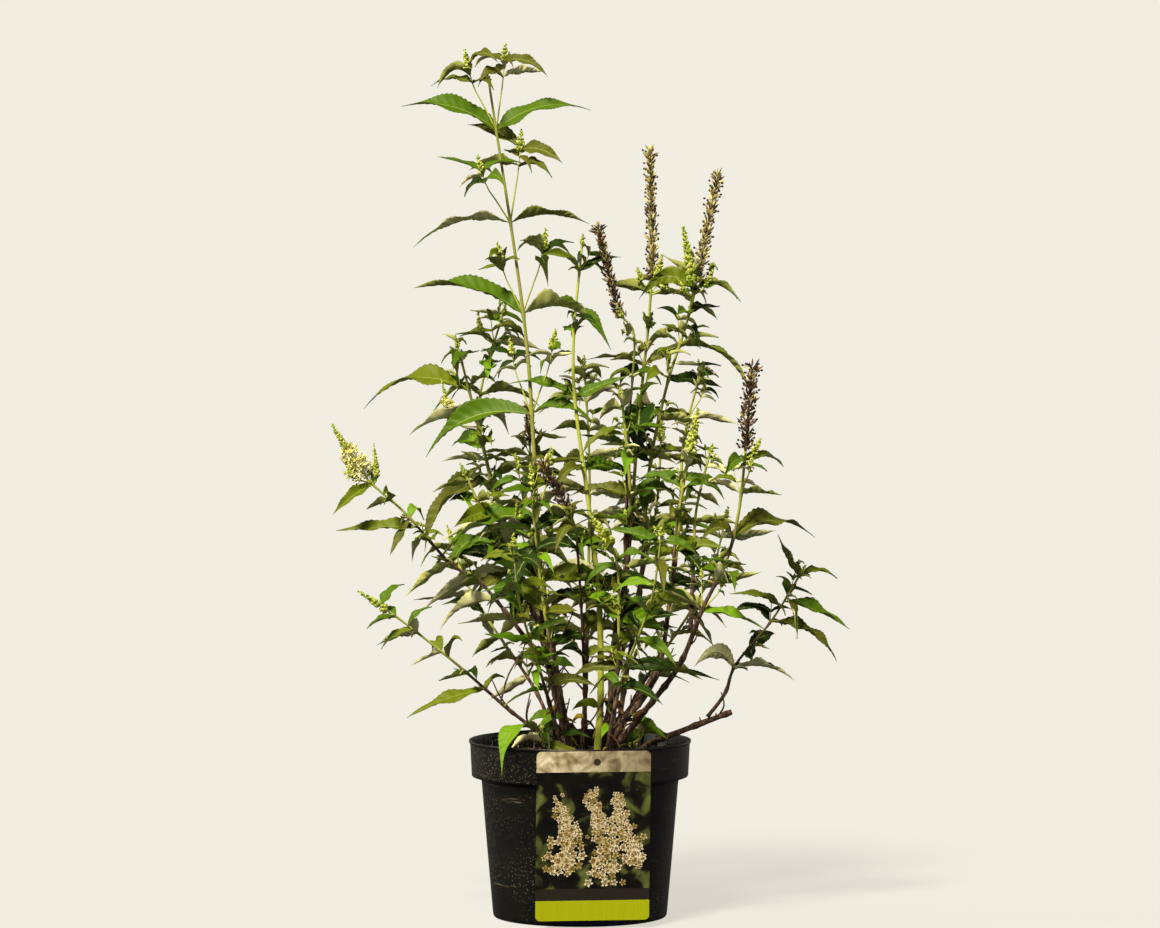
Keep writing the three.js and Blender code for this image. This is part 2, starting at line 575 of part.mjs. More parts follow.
function growTuft(organs, { frame, out, length }, random, keep) {
  const habit = { ...leafHabit(length, random), rise: random(...TUFT_RISE) };
  growLeaf(organs, layLeaf(frame, out, habit), keep);
}

function growShoot(organs, { frame, out, length }, random, keep) {
  const lean = random(...SHOOT_LEAN);
  const pairs = SHOOT_NODES.map((place) => {
    const azimuth = random(0, Math.PI);
    return { place, azimuth, habits: [0, 1].map(() => leafHabit(length * SHOOT_LEAF, random)) };
  });
  const way = frame.tangent.clone().multiplyScalar(Math.sin(lean)).addScaledVector(out, Math.cos(lean));
  const bend = frame.point.clone().addScaledVector(way, SHOOT_BEND * length);
  const upwards = UP.clone().lerp(way, 0.5).normalize();
  const tip = bend.clone().addScaledVector(upwards, (1 - SHOOT_BEND) * length);
  const curve = new THREE.QuadraticBezierCurve3(frame.point, bend, tip);
  const frameAt = (t) => ({ ...axisFrame(curve.getPoint(t), curve.getTangent(t)), radius: TWIG_RADIUS });
  const places = [0, ...SHOOT_NODES, SHOOT_BUD, 1];
  const radii = [TWIG_RADIUS, TWIG_RADIUS, TWIG_RADIUS, BUD_RADIUS, 0];
  const twig = (start, spare) => solidOf(sweep(TWIG_SIDES, places.map((t, i) => (
    { ...frameAt(Math.max(start, t)), wide: radii[i] + spare }))));
  if (!keep(twig(0, SPARE_ROOM), twig(CLEAR_OF_STEM, SPARE_ROOM))) {
    return;
  }
  organs.push(twig(0, 0));
  for (const { place, azimuth, habits } of pairs) {
    const at = frameAt(place);
    habits.forEach((habit, i) => {
      growLeaf(organs, layLeaf(at, radialAt(at, azimuth + i * Math.PI), habit), keep);
    });
  }
}

// The whole plant: first every bough and stem, then the leaves, which grow only where there is room.
function makePlant(fixtures) {
  const canes = {};
  for (const cane of CANES) {
    canes[cane.name] = layCane(cane, canes);
  }
  const laid = Object.values(canes);
  const boughs = laid
    .filter((cane) => cane.bare > 0)
    .map((cane) => ({ name: `cane_${cane.name}`, ...boxed(makeBough(cane)) }));
  const leafyCanes = laid.filter((cane) => cane.spike);
  const tops = leafyCanes.map((cane, index) => {
    const stem = makeStem(cane).add(makeSpike(cane));
    return { name: `foliage_${cane.name}`, cane, seed: 1000 + 37 * index, ...boxed(stem) };
  });
  for (const top of tops) {
    const others = [...fixtures, ...boughs, ...tops.filter((other) => other !== top)];
    const kept = [];
    const keep = (whole, outer) => {
      const [wholeBox, outerBox] = [whole.boundingBox(), outer.boundingBox()];
      if (others.some((other) => touches(whole, wholeBox, other))) {
        return false;
      }
      if (kept.some((organ) => touches(outer, outerBox, organ))) {
        return false;
      }
      kept.push({ solid: outer, box: outerBox });
      return true;
    };
    const organs = growTop(top.cane, seededRandom(top.seed), keep);
    Object.assign(top, boxed(organs.reduce((joined, organ) => joined.add(organ), top.solid)));
  }
  return { boughs, tops };
}

function meshOf(name, solid, look) {
  const mesh = new THREE.Mesh(geometryOf(solid), new THREE.MeshStandardMaterial(look));
  mesh.name = name;
  return mesh;
}

const pot = boxed(makePot());
const soil = boxed(makeSoil());
const label = boxed(makeLabel());
const { boughs, tops } = makePlant([pot, soil, label]);

const bush = new THREE.Group();
bush.add(meshOf('pot', pot.solid, { color: 0x17181a, roughness: 0.55, metalness: 0 }));
bush.add(meshOf('soil', soil.solid, { color: 0x2a1f18, roughness: 1, metalness: 0 }));
bush.add(meshOf('label', label.solid, { color: 0xcfc8a8, roughness: 0.35, metalness: 0 }));
boughs.forEach((bough) => bush.add(meshOf(bough.name, bough.solid, CANE_BARK)));
tops.forEach((top) => bush.add(meshOf(top.name, top.solid, LEAF_GREEN)));

export default bush;
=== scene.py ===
import math

import bmesh
import bpy
import numpy as np
from mathutils import Matrix, Vector, noise


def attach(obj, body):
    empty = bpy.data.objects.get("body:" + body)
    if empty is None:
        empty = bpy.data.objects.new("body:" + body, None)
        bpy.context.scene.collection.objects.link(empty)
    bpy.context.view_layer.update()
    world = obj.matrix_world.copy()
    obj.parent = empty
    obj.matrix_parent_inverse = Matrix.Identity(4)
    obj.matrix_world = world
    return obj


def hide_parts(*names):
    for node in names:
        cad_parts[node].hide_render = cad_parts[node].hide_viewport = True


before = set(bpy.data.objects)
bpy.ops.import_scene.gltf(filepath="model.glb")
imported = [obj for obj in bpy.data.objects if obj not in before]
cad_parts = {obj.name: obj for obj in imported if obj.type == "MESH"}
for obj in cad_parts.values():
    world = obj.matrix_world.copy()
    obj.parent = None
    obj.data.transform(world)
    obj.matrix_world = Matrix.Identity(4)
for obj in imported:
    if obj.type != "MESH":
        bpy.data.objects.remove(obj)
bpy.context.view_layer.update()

# Camera: a long lens a little above the foot of the plant, level with the middle of the crown.
CAMERA_AT = (0, -5.1, 0.67)
CAMERA_AIM = (0, 0, 0.4625)
CAMERA_LENS = 155.5


def stand(name, data):
    """Puts a camera, light or mesh into the scene as an object."""
    made = bpy.data.objects.new(name, data)
    bpy.context.scene.collection.objects.link(made)
    return made


camera = stand("camera", bpy.data.cameras.new("camera"))
camera.location = CAMERA_AT
camera.rotation_euler = (Vector(CAMERA_AIM) - Vector(CAMERA_AT)).to_track_quat("-Z", "Y").to_euler()
camera.data.lens = CAMERA_LENS
camera.data.sensor_width = 36
bpy.context.scene.camera = camera
bpy.context.scene.view_settings.view_transform = "Standard"


# Studio: a light table, whose matt cream top glows from within and takes most of the shadow away, meets a
# backdrop of the same cream. A big soft light stands high at the left front, a strip light at the left side and a
# weak fill at the right, in the glow of the room, which is dimmer from below and above the backdrop.
FLOOR_SIZE = 120.0
PAPER_CREAM = "#f2ede1"
FLOOR_PAPER = "#adb1be"  # a cool pale top, which the warm light turns to the backdrop's cream
FLOOR_MATT = 0.25  # share of the table's brightness that it takes from the lights
KEY = ((-0.42, -0.9, 1.15), 7.4, 12, "#fff3d6")  # where it comes from, strength, softness in degrees and colour
FILL = ((0.9, -0.55, 0.5), 0.3, 60, "#fffaf0")
STRIP = ((-1.0, 0.02, 0.3), 1.3, 24, "#fff6e2")
ROOM = [(0.0, 0.1), (0.44, 0.1), (0.486, 1.0), (0.545, 1.0), (0.6, 0.08), (0.8, 0.1), (1.0, 0.3)]


def linear(hex_colour, level=1.0):
    """An sRGB hex colour as linear RGBA, at a share of its brightness."""
    shares = [int(hex_colour[i:i + 2], 16) / 255 for i in (1, 3, 5)]
    return [level * (s / 12.92 if s <= 0.04045 else ((s + 0.055) / 1.055) ** 2.4) for s in shares] + [1.0]


def add(tree, kind, links=None, stops=(), **settings):
    """Adds a node, or takes one that is there, and gives it its settings, inputs and the stops of its colour ramp.
    An input takes a value, a hex colour, a node's output, or a node, which stands for its first output."""
    made = tree.nodes.new("ShaderNode" + kind) if isinstance(kind, str) else kind
    for name, value in settings.items():
        setattr(made, name, value)
    for socket, value in (links or {}).items():
        if isinstance(value, bpy.types.Node):
            value = next(output for output in value.outputs if output.enabled)
        if isinstance(value, bpy.types.NodeSocket):
            tree.links.new(value, made.inputs[socket])
        else:
            made.inputs[socket].default_value = linear(value) if isinstance(value, str) else value
    for i, (position, colour) in enumerate(stops):
        stop = made.color_ramp.elements[i] if i < 2 else made.color_ramp.elements.new(position)
        stop.position = position
        stop.color = linear(colour) if isinstance(colour, str) else colour
    return made


def surface(name, colour, roughness, **sockets):
    """A material with one shader; returns it with its node tree and shader for patterns to be added."""
    made = bpy.data.materials.new(name)
    made.use_nodes = True
    shader = made.node_tree.nodes["Principled BSDF"]
    shader.inputs["Base Color"].default_value = linear(colour)
    shader.inputs["Roughness"].default_value = roughness
    for socket, value in sockets.items():
        shader.inputs[socket.replace("_", " ")].default_value = value
    return made, made.node_tree, shader


def mesh_of(name, body):
    mesh = bpy.data.meshes.new(name)
    body.to_mesh(mesh)
    body.free()
    return mesh


def skins(name, colours, *rest, **sockets):
    """Materials of one kind in several colours."""
    return [surface(name, colour, *rest, **sockets)[0] for colour in colours]


def shine(name, towards, strength, softness, colour):
    light = bpy.data.lights.new(name, "SUN")
    light.energy = strength
    light.angle = math.radians(softness)
    light.color = linear(colour)[:3]
    stand(name, light).rotation_euler = (-Vector(towards)).to_track_quat("-Z", "Y").to_euler()


shape = bmesh.new()
bmesh.ops.create_grid(shape, x_segments=1, y_segments=1, size=FLOOR_SIZE / 2)
floor = stand("matt_floor", mesh_of("matt_floor", shape))
paper, tree, shader = surface("light_table", FLOOR_PAPER, 1.0, Specular_IOR_Level=0.0, Emission_Strength=1.0)
add(tree, shader, {"Base Color": linear(FLOOR_PAPER, FLOOR_MATT),
                   "Emission Color": linear(PAPER_CREAM, 1 - FLOOR_MATT)})
floor.data.materials.append(paper)
floor.visible_diffuse = False
floor.visible_glossy = False

world = bpy.data.worlds.new("studio")
world.use_nodes = True
tree = world.node_tree
height = add(tree, "SeparateXYZ", {"Vector": add(tree, "TexCoord").outputs["Generated"]}).outputs["Z"]
share = add(tree, "MapRange", {"Value": height, "From Min": -1})
room = add(tree, "ValToRGB", {"Fac": share}, [(place, linear(PAPER_CREAM, level)) for place, level in ROOM])
add(tree, tree.nodes["Background"], {"Color": room})
bpy.context.scene.world = world
for name, light in (("key", KEY), ("fill", FILL), ("strip", STRIP)):
    shine(name, *light)


# Pot: a black nursery container of injection-moulded polypropylene, 5 litres, with a wide stacking collar, a
# beaded lip, stacking ribs inside the collar and a ring of drainage holes.
POT_HEIGHT = 181.5
RIM_RADIUS = 113.5
LIP = 2.6
WALL = 1.3
COLLAR_FOOT = (110.5, 145.0)  # radius and height
BODY_TOP = (100.5, 140.0)
BASE_RADIUS = 89.0
FLOOR_THICK = 1.6
POT_STEPS = 144
DRAIN_HOLES = 8
DRAIN_RADIUS = 6.0
DRAIN_CIRCLE = 66.0
STACKING_RIBS = 36
RIB = (1.2, 1.4, 20.0)  # thickness, width and height
MM = 0.001


def spun(profile, steps):
    """A closed body of revolution through a profile of radii and heights that starts and ends on the axis."""
    body = bmesh.new()
    row = [body.verts.new((r, 0, z)) for r, z in profile]
    runs = [body.edges.new(pair) for pair in zip(row, row[1:])]
    bmesh.ops.spin(body, geom=row + runs, cent=(0, 0, 0), axis=(0, 0, 1), angle=2 * math.pi, steps=steps,
                   use_merge=True)
    bmesh.ops.remove_doubles(body, verts=body.verts, dist=1e-5)
    bmesh.ops.recalc_face_normals(body, faces=body.faces)
    return body


def join_plant(mesh, materials, slot, nodes, smooth=True):
    """Makes a mesh a piece of the plant's one body, which stands for the named CAD nodes."""
    for material in materials:
        mesh.materials.append(material)
    mesh.shade_smooth() if smooth else mesh.shade_flat()
    piece = stand(mesh.name, mesh)
    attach(piece, "root")
    if nodes:
        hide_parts(*nodes)
    return piece


def finish_piece(name, body, *rest):
    """Makes a bmesh in millimetres a piece of the plant."""
    bmesh.ops.scale(body, vec=(MM,) * 3, verts=body.verts)
    return join_plant(mesh_of(name, body), *rest)


def keep_edges(body, degrees):
    """Marks the edges that stay sharp under smooth shading."""
    for edge in body.edges:
        if len(edge.link_faces) == 2 and edge.calc_face_angle() > math.radians(degrees):
            edge.smooth = False


pot_profile = [(radius + out, height + up) for (radius, height), offsets in (
    ((0, 0), [(0, 1)]),
    ((BASE_RADIUS, 0), [(-12, 1), (-10, 0), (-4, 0), (-1.6, 0.7), (-0.4, 2.2), (0, 4.5)]),
    ((0, 0), [(94.6, 68)]),
    (BODY_TOP, [(-0.1, -2), (0.3, 0.4), (1.4, 1.4)]),
    (COLLAR_FOOT, [(-2, -1.2), (-0.6, -0.8), (0, -0.1), (0.1, 1.2)]),
    ((RIM_RADIUS, POT_HEIGHT - LIP), [(-1.3, -1), (-0.4, -0.5), (0, 0.4)]),
    ((RIM_RADIUS, POT_HEIGHT), [(0, -0.9), (-0.5, -0.2), (-1.2, 0)]),
    ((RIM_RADIUS - LIP, POT_HEIGHT), [(0.3, -0.3), (0, -1.2)]),
    (COLLAR_FOOT, [(-WALL, 1)]), (BODY_TOP, [(-WALL, 1)]), ((BASE_RADIUS, 0), [(-WALL, 5.5)]),
    ((BASE_RADIUS, FLOOR_THICK), [(-5, 1)]), ((0, FLOOR_THICK), [(0, 1)])) for out, up in offsets]
pot_body = spun(pot_profile, POT_STEPS)
tilt = Matrix.Rotation(math.atan2(RIM_RADIUS - COLLAR_FOOT[0], POT_HEIGHT - COLLAR_FOOT[1]), 4, "Y")
place = Matrix.Translation((RIM_RADIUS - LIP - WALL + 0.1, 0, POT_HEIGHT - 18)) @ tilt
for i in range(STACKING_RIBS):
    rib = bmesh.ops.create_cube(pot_body, size=1)["verts"]
    turn = Matrix.Rotation(2 * math.pi * (i + 0.5) / STACKING_RIBS, 4, "Z")
    bmesh.ops.transform(pot_body, matrix=turn @ place @ Matrix.Diagonal((*RIB, 1)), verts=rib)
keep_edges(pot_body, 38)

# Injection-moulded black polypropylene: satin, with the greyish bloom, pale dust specks and rubbed scratches
# that a pot picks up on the nursery bed.
polypropylene, tree, shader = surface("moulded_polypropylene", "#0c0c0c", 0.42, IOR=1.49,
                                      Specular_IOR_Level=0.22)
place = add(tree, "TexCoord").outputs["Object"]
bloom = add(tree, "TexNoise", {"Vector": place, "Scale": 14, "Detail": 4, "Roughness": 0.6})
bloom_colour = add(tree, "Mix", {"Factor": bloom, "A": "#010101", "B": "#0e0b08"}, data_type="RGBA")
specks = add(tree, "TexVoronoi", {"Vector": place, "Scale": 380}, feature="F1")
speck_size = add(tree, "MapRange", {"Value": specks, "From Min": 0.16, "From Max": 0.26, "To Min": 1, "To Max": 0})
dusty = add(tree, "TexNoise", {"Vector": place, "Scale": 17, "Detail": 3})
dusty_spots = add(tree, "MapRange", {"Value": dusty, "From Min": 0.4, "From Max": 0.7, "To Max": 0.85})
dust = add(tree, "Math", {0: speck_size, 1: dusty_spots}, operation="MULTIPLY")
stretch = add(tree, "Mapping", {"Vector": place, "Rotation": (0.3, 0.5, 0), "Scale": (12, 12, 160)})
scratch = add(tree, "TexNoise", {"Vector": stretch, "Scale": 1.6, "Detail": 5})
scratches = add(tree, "MapRange", {"Value": scratch, "From Min": 0.66, "From Max": 0.72, "To Max": 0.35})
marks = add(tree, "Math", {0: dust, 1: scratches}, operation="MAXIMUM")
pot_colour = add(tree, "Mix", {"Factor": marks, "A": bloom_colour, "B": "#7d715c"}, data_type="RGBA")
pot_rough = add(tree, "MapRange", {"Value": bloom, "To Min": 0.3, "To Max": 0.5})
grain = add(tree, "TexNoise", {"Vector": place, "Scale": 900, "Detail": 2})
bump = add(tree, "Bump", {"Height": grain, "Strength": 0.12, "Distance": 0.0004})
add(tree, shader, {"Base Color": pot_colour, "Roughness": pot_rough, "Normal": bump})

pot = finish_piece("nursery_pot", pot_body, [polypropylene], "pot_plastic", ["pot"])
drill = bmesh.new()
for i in range(DRAIN_HOLES):
    angle = 2 * math.pi * (i + 0.5) / DRAIN_HOLES
    hole = Matrix.Translation((DRAIN_CIRCLE * MM * math.cos(angle), DRAIN_CIRCLE * MM * math.sin(angle), 0))
    bmesh.ops.create_cone(drill, cap_ends=True, segments=24, radius1=DRAIN_RADIUS * MM, radius2=DRAIN_RADIUS * MM,
                          depth=0.012, matrix=hole)
drill_bit = stand("drill", mesh_of("drill", drill))
cut = pot.modifiers.new("drainage", "BOOLEAN")
cut.operation = "DIFFERENCE"
cut.solver = "EXACT"
cut.use_self = True
cut.object = drill_bit
drained = bpy.data.meshes.new_from_object(pot.evaluated_get(bpy.context.evaluated_depsgraph_get()))
pot.modifiers.clear()
pot.data = drained
pot.data.name = "nursery_pot"
bpy.data.objects.remove(drill_bit)


# Compost: damp bark and peat, filled to 2 cm under the rim, with chips of bark loose on top.
SOIL_LEVEL = 162.0
SOIL_RADIUS = 109.0
SOIL_RINGS = 26
SOIL_STEPS = 72
SOIL_RELIEF = 2.6
SOIL_SINK = 1.2
CHIPS = 620
CHIP_SIZE = (4.0, 13.0)
CHIP_WIDTH = (0.35, 0.7)  # of its length
CHIP_THICK = (0.12, 0.3)
luck = np.random.default_rng(7)
noise.seed_set(7)  # without it noise_vector follows the clock


def linked(name, corners, faces, slots, materials, slot, nodes=(), smooth=True, **attributes):
    """Joins copies of shapes into one piece. corners, faces and slots hold one entry for each lot of copies:
    corners (copies, vertices, 3) in millimetres, faces as lists of vertex numbers, and slots (copies, faces)."""
    loops, sizes, slot_list, first = [], [], [], 0
    for spots, sides, picks in zip(corners, faces, slots):
        copies, per_copy = spots.shape[:2]
        flat = np.concatenate([np.asarray(side) for side in sides])
        starts = first + per_copy * np.arange(copies)
        loops.append((flat[None, :] + starts[:, None]).ravel())
        sizes.append(np.tile([len(side) for side in sides], copies))
        slot_list.append(np.asarray(picks).ravel())
        first += copies * per_copy
    spots = np.concatenate([lot.reshape(-1, 3) for lot in corners])
    loops, sizes, slot_list = (np.concatenate(lot) for lot in (loops, sizes, slot_list))
    mesh = bpy.data.meshes.new(name)
    mesh.vertices.add(len(spots))
    mesh.vertices.foreach_set("co", (spots * MM).astype(np.float32).ravel())
    mesh.loops.add(len(loops))
    mesh.loops.foreach_set("vertex_index", loops.astype(np.int32))
    mesh.polygons.add(len(sizes))
    mesh.polygons.foreach_set("loop_start", (np.cumsum(sizes) - sizes).astype(np.int32))
    mesh.polygons.foreach_set("material_index", slot_list.astype(np.int32))
    for attribute, values in attributes.items():
        mesh.attributes.new(attribute, "FLOAT", "POINT").data.foreach_set("value", values.astype(np.float32))
    mesh.update(calc_edges=True)
    mesh.validate()
    join_plant(mesh, materials, slot, nodes, smooth)


def arrays_of(body):
    """A bmesh as vertex places, faces and face slots."""
    body.verts.index_update()
    spots = np.array([tuple(v.co) for v in body.verts])
    faces = [[v.index for v in face.verts] for face in body.faces]
    slots = np.array([face.material_index for face in body.faces])
    body.free()
    return spots, faces, slots


soil_profile = [(SOIL_RADIUS * i / SOIL_RINGS, SOIL_LEVEL) for i in range(SOIL_RINGS + 1)]
soil_profile += [(BODY_TOP[0] - WALL - 0.6, BODY_TOP[1]), (BASE_RADIUS - WALL - 1.2, 6), (0, 3.2)]
soil_body = spun(soil_profile, SOIL_STEPS)
for vert in soil_body.verts:
    if vert.co.z > SOIL_LEVEL - 1:
        vert.co.z += SOIL_RELIEF * noise.fractal(vert.co * 0.09, 0.7, 2.2, 5) - SOIL_SINK
bark_compost, tree, shader = surface("bark_compost", "#241a13", 0.95)
place = add(tree, "TexCoord").outputs["Object"]
crumbs = add(tree, "TexNoise", {"Vector": place, "Scale": 260, "Detail": 5, "Roughness": 0.7})
crumb_colour = add(tree, "Mix", {"Factor": crumbs, "A": "#120c08", "B": "#4a382a"}, data_type="RGBA")
bump = add(tree, "Bump", {"Height": crumbs, "Strength": 0.6, "Distance": 0.003})
add(tree, shader, {"Base Color": crumb_colour, "Normal": bump})
finish_piece("compost", soil_body, [bark_compost], "compost", ["soil"])

chip_body = bmesh.new()
bmesh.ops.create_cube(chip_body, size=1)
bmesh.ops.bevel(chip_body, geom=chip_body.edges[:], offset=0.16, segments=1, profile=0.5, affect="EDGES",
                material=-1)
for vert in chip_body.verts:
    vert.co += 0.12 * noise.noise_vector(vert.co * 3)
chip, chip_faces, _ = arrays_of(chip_body)
chip_corners = []
for _ in range(CHIPS):
    length = luck.uniform(*CHIP_SIZE)
    size = np.array([length, length * luck.uniform(*CHIP_WIDTH), length * luck.uniform(*CHIP_THICK)])
    turn = Matrix.Rotation(luck.uniform(0, 2 * math.pi), 3, "Z") @ Matrix.Rotation(luck.normal(0, 0.35), 3, "X")
    away = (SOIL_RADIUS - 8) * math.sqrt(luck.uniform(0, 1))
    angle = luck.uniform(0, 2 * math.pi)
    middle = [away * math.cos(angle), away * math.sin(angle), SOIL_LEVEL + 0.6]
    chip_corners.append((chip * size) @ np.array(turn).T + middle)
chips = skins("pine_bark", ("#2b1e15", "#4a3425", "#6b4f38", "#1a120d"), 0.9)
chip_picks = luck.choice(4, CHIPS, p=[0.4, 0.3, 0.1, 0.2])
linked("bark_chips", [np.array(chip_corners)], [chip_faces], [np.repeat(chip_picks, len(chip_faces))],
       chips, "compost", smooth=False)


# Care card: a printed polypropylene card, hung by a fold behind the rim so that it leans on the collar. It has
# a marbled head with a punched hole, a picture, a dark band for a name, left bare, and a lime green foot.
CARD_SIZE = (115.0, 172.0)
CARD_THICK = 0.7
CARD_TOP = 180.0
CARD_TURN = 7.0
CARD_BANDS = [21.0, 118.5, 12.0, 20.5]  # head, picture, dark band and foot
CARD_CORNER = 5.0
CARD_HOLE = (3.5, 11.0, 3.0)  # aside, below the top, and radius
CARD_GAP = 0.3

card_lean = math.atan((RIM_RADIUS - COLLAR_FOOT[0]) / (POT_HEIGHT - COLLAR_FOOT[1]))
card_place = (Matrix.Rotation(math.radians(CARD_TURN), 4, "Z")
              @ Matrix.Translation((0, -(RIM_RADIUS + CARD_GAP), CARD_TOP))
              @ Matrix.Rotation(math.pi / 2 + card_lean, 4, "X"))


def thicken(body, depth):
    """Makes a flat mesh a closed one, whose other side lies at a depth under or over it."""
    copied = bmesh.ops.extrude_face_region(body, geom=body.faces[:])["geom"]
    bmesh.ops.translate(body, vec=(0, 0, depth), verts=[v for v in copied if isinstance(v, bmesh.types.BMVert)])
    bmesh.ops.recalc_face_normals(body, faces=body.faces)


card_body = bmesh.new()
bmesh.ops.create_grid(card_body, x_segments=24, y_segments=36, size=0.5)
bmesh.ops.scale(card_body, vec=(*CARD_SIZE, 1), verts=card_body.verts)
bmesh.ops.translate(card_body, vec=(0, -CARD_SIZE[1] / 2, 0), verts=card_body.verts)
band_line = 0
for band in CARD_BANDS[:-1]:
    band_line -= band
    bmesh.ops.bisect_plane(card_body, geom=card_body.verts[:] + card_body.edges[:] + card_body.faces[:],
                           plane_co=(0, band_line, 0), plane_no=(0, 1, 0), dist=1e-4)
corners = [v for v in card_body.verts if abs(abs(v.co.x) - CARD_SIZE[0] / 2) < 0.01
           and (abs(v.co.y) < 0.01 or abs(v.co.y + CARD_SIZE[1]) < 0.01)]
bmesh.ops.bevel(card_body, geom=corners, offset=CARD_CORNER, segments=5, profile=0.5, affect="VERTICES",
                material=-1)
for face in card_body.faces:
    depth = -face.calc_center_median().y
    face.material_index = int(np.searchsorted(np.cumsum(CARD_BANDS[:-1]), depth))
thicken(card_body, CARD_THICK)
bmesh.ops.transform(card_body, matrix=card_place, verts=card_body.verts)
keep_edges(card_body, 30)

# Printed and laminated polypropylene: a soft gloss over flat print. The head is marbled cream and grey-brown,
# the picture's ground is blurred foliage, the band is dark brown and the foot lime green with faint streaks.


def card_material(name, colour):
    """A card surface, with the place on the card in millimetres from its top middle for the print."""
    made, tree, shader = surface(name, colour, 0.36, Specular_IOR_Level=0.25, Coat_Weight=0.08,
                                 Coat_Roughness=0.15)
    spot = add(tree, "TexCoord").outputs["Object"]
    flat = add(tree, "Mapping", {"Vector": spot, "Scale": (1 / MM,) * 3})
    back = add(tree, "Mapping", {"Vector": flat, "Location": card_place.translation,
                                 "Rotation": card_place.to_euler()}, vector_type="TEXTURE")
    return made, tree, shader, back.outputs["Vector"]


marbled, tree, shader, print_place = card_material("marbled_print", "#b9b09a")
warp = add(tree, "TexNoise", {"Vector": print_place, "Scale": 0.055, "Detail": 5, "Distortion": 1.4})
across = add(tree, "SeparateXYZ", {"Vector": print_place})
fade = add(tree, "MapRange", {"Value": across.outputs["X"], "From Min": -50, "From Max": 60})
veined = add(tree, "MapRange", {"Value": warp, "From Min": 0.35, "From Max": 0.65})
cream = add(tree, "Mix", {"Factor": veined, "A": "#7d6c4c", "B": "#d8cfb4"}, data_type="RGBA")
grey = add(tree, "Mix", {"Factor": veined, "A": "#3f3425", "B": "#7c6f58"}, data_type="RGBA")
head_colour = add(tree, "Mix", {"Factor": fade, "A": cream, "B": grey}, data_type="RGBA")
add(tree, shader, {"Base Color": head_colour})

blurred, tree, shader, print_place = card_material("blurred_foliage_print", "#26261a")
soft = add(tree, "TexNoise", {"Vector": print_place, "Scale": 0.045, "Detail": 2.5, "Distortion": 0.8})
leafy = add(tree, "ValToRGB", {"Fac": soft}, [(0.36, "#010100"), (0.52, "#0d0b05"), (0.72, "#5a6330")])
add(tree, shader, {"Base Color": leafy})

name_band = card_material("dark_band_print", "#201b17")[0]
lime, tree, shader, print_place = card_material("lime_print", "#939c04")
streak = add(tree, "Mapping", {"Vector": print_place, "Scale": (0.9, 0.03, 0.03)})
streaks = add(tree, "TexNoise", {"Vector": streak, "Scale": 0.5, "Detail": 3})
lime_colour = add(tree, "Mix", {"Factor": streaks, "A": "#8b9402", "B": "#9aa305"}, data_type="RGBA")
add(tree, shader, {"Base Color": lime_colour})
finish_piece("care_card", card_body, [marbled, blurred, name_band, lime], "label_card", ["label"])

# The hole through the card's head is a dark disc with a pressed rim, not a cut: its colour is painted shade, over the
# black collar that would show through.
hole_body = spun([(0, CARD_THICK + 0.02), (CARD_HOLE[2], CARD_THICK + 0.02), (CARD_HOLE[2] + 0.5, CARD_THICK + 0.12),
                  (CARD_HOLE[2] + 0.8, CARD_THICK - 0.1), (0, CARD_THICK - 0.2)], 24)
bmesh.ops.transform(hole_body, matrix=card_place @ Matrix.Translation((CARD_HOLE[0], -CARD_HOLE[1], 0)),
                    verts=hole_body.verts)
finish_piece("card_hole", hole_body, [surface("hole_shade", "#1b120d", 0.8)[0]], "label_card", [])

# The picture is a generic one: loose sprigs of small five-petalled blossom in cream over the blurred leaves.
PETALS = 5
BLOSSOMS = 460
SPRIGS = [(-34, 100, 70), (4, 112, 92), (33, 92, 66)]  # aside, foot below the head, and height
PRINT_LIFT = 0.06  # the blossom print is a thin raised varnish

blossom_body = bmesh.new()
bmesh.ops.create_circle(blossom_body, cap_ends=True, segments=PETALS * 4, radius=1)
for vert in blossom_body.verts:
    vert.co *= 0.72 + 0.28 * math.cos(PETALS * math.atan2(vert.co.y, vert.co.x))
bmesh.ops.inset_region(blossom_body, faces=blossom_body.faces[:], thickness=0.42, use_boundary=True)
for face in blossom_body.faces:
    face.material_index = 1 if len(face.verts) > 4 else 0
thicken(blossom_body, 1)
blossom, blossom_faces, blossom_slots = arrays_of(blossom_body)
prints, print_slots = [], []
for i in range(BLOSSOMS):
    sprig = i % len(SPRIGS)
    aside, foot, tall = SPRIGS[sprig]
    share = luck.uniform(0, 1)
    middle_x = aside + 9 * math.sin(3 * share + sprig)
    middle_y = -CARD_BANDS[0] - foot + share * tall
    spread = 17 - 12 * share
    x = np.clip(middle_x + luck.normal(0, spread / 1.6), -51, 51)
    y = np.clip(middle_y + luck.normal(0, 4), -CARD_BANDS[0] - CARD_BANDS[1] + 6, -CARD_BANDS[0] - 5)
    size = luck.uniform(3.0, 5.0) * (1.15 - 0.45 * share)
    turn = np.array(Matrix.Rotation(luck.uniform(0, 2 * math.pi), 3, "Z"))
    flat = (blossom * [size, size * luck.uniform(0.7, 1), PRINT_LIFT * luck.uniform(0.5, 1.5)]) @ turn.T
    flat += [x, y, CARD_THICK - 0.01]
    prints.append(flat @ np.array(card_place.to_3x3()).T + np.array(card_place.translation))
    tone = luck.choice(3, p=[0.5, 0.3, 0.2])
    print_slots.append(np.where(blossom_slots == 1, 3, tone))
print_inks = skins("blossom_print", ("#e0d5b8", "#c9b98c", "#a8955c", "#8d6a24"), 0.35)
linked("card_blossom", [np.array(prints)], [blossom_faces], [np.array(print_slots)], print_inks, "label_card",
       smooth=False)


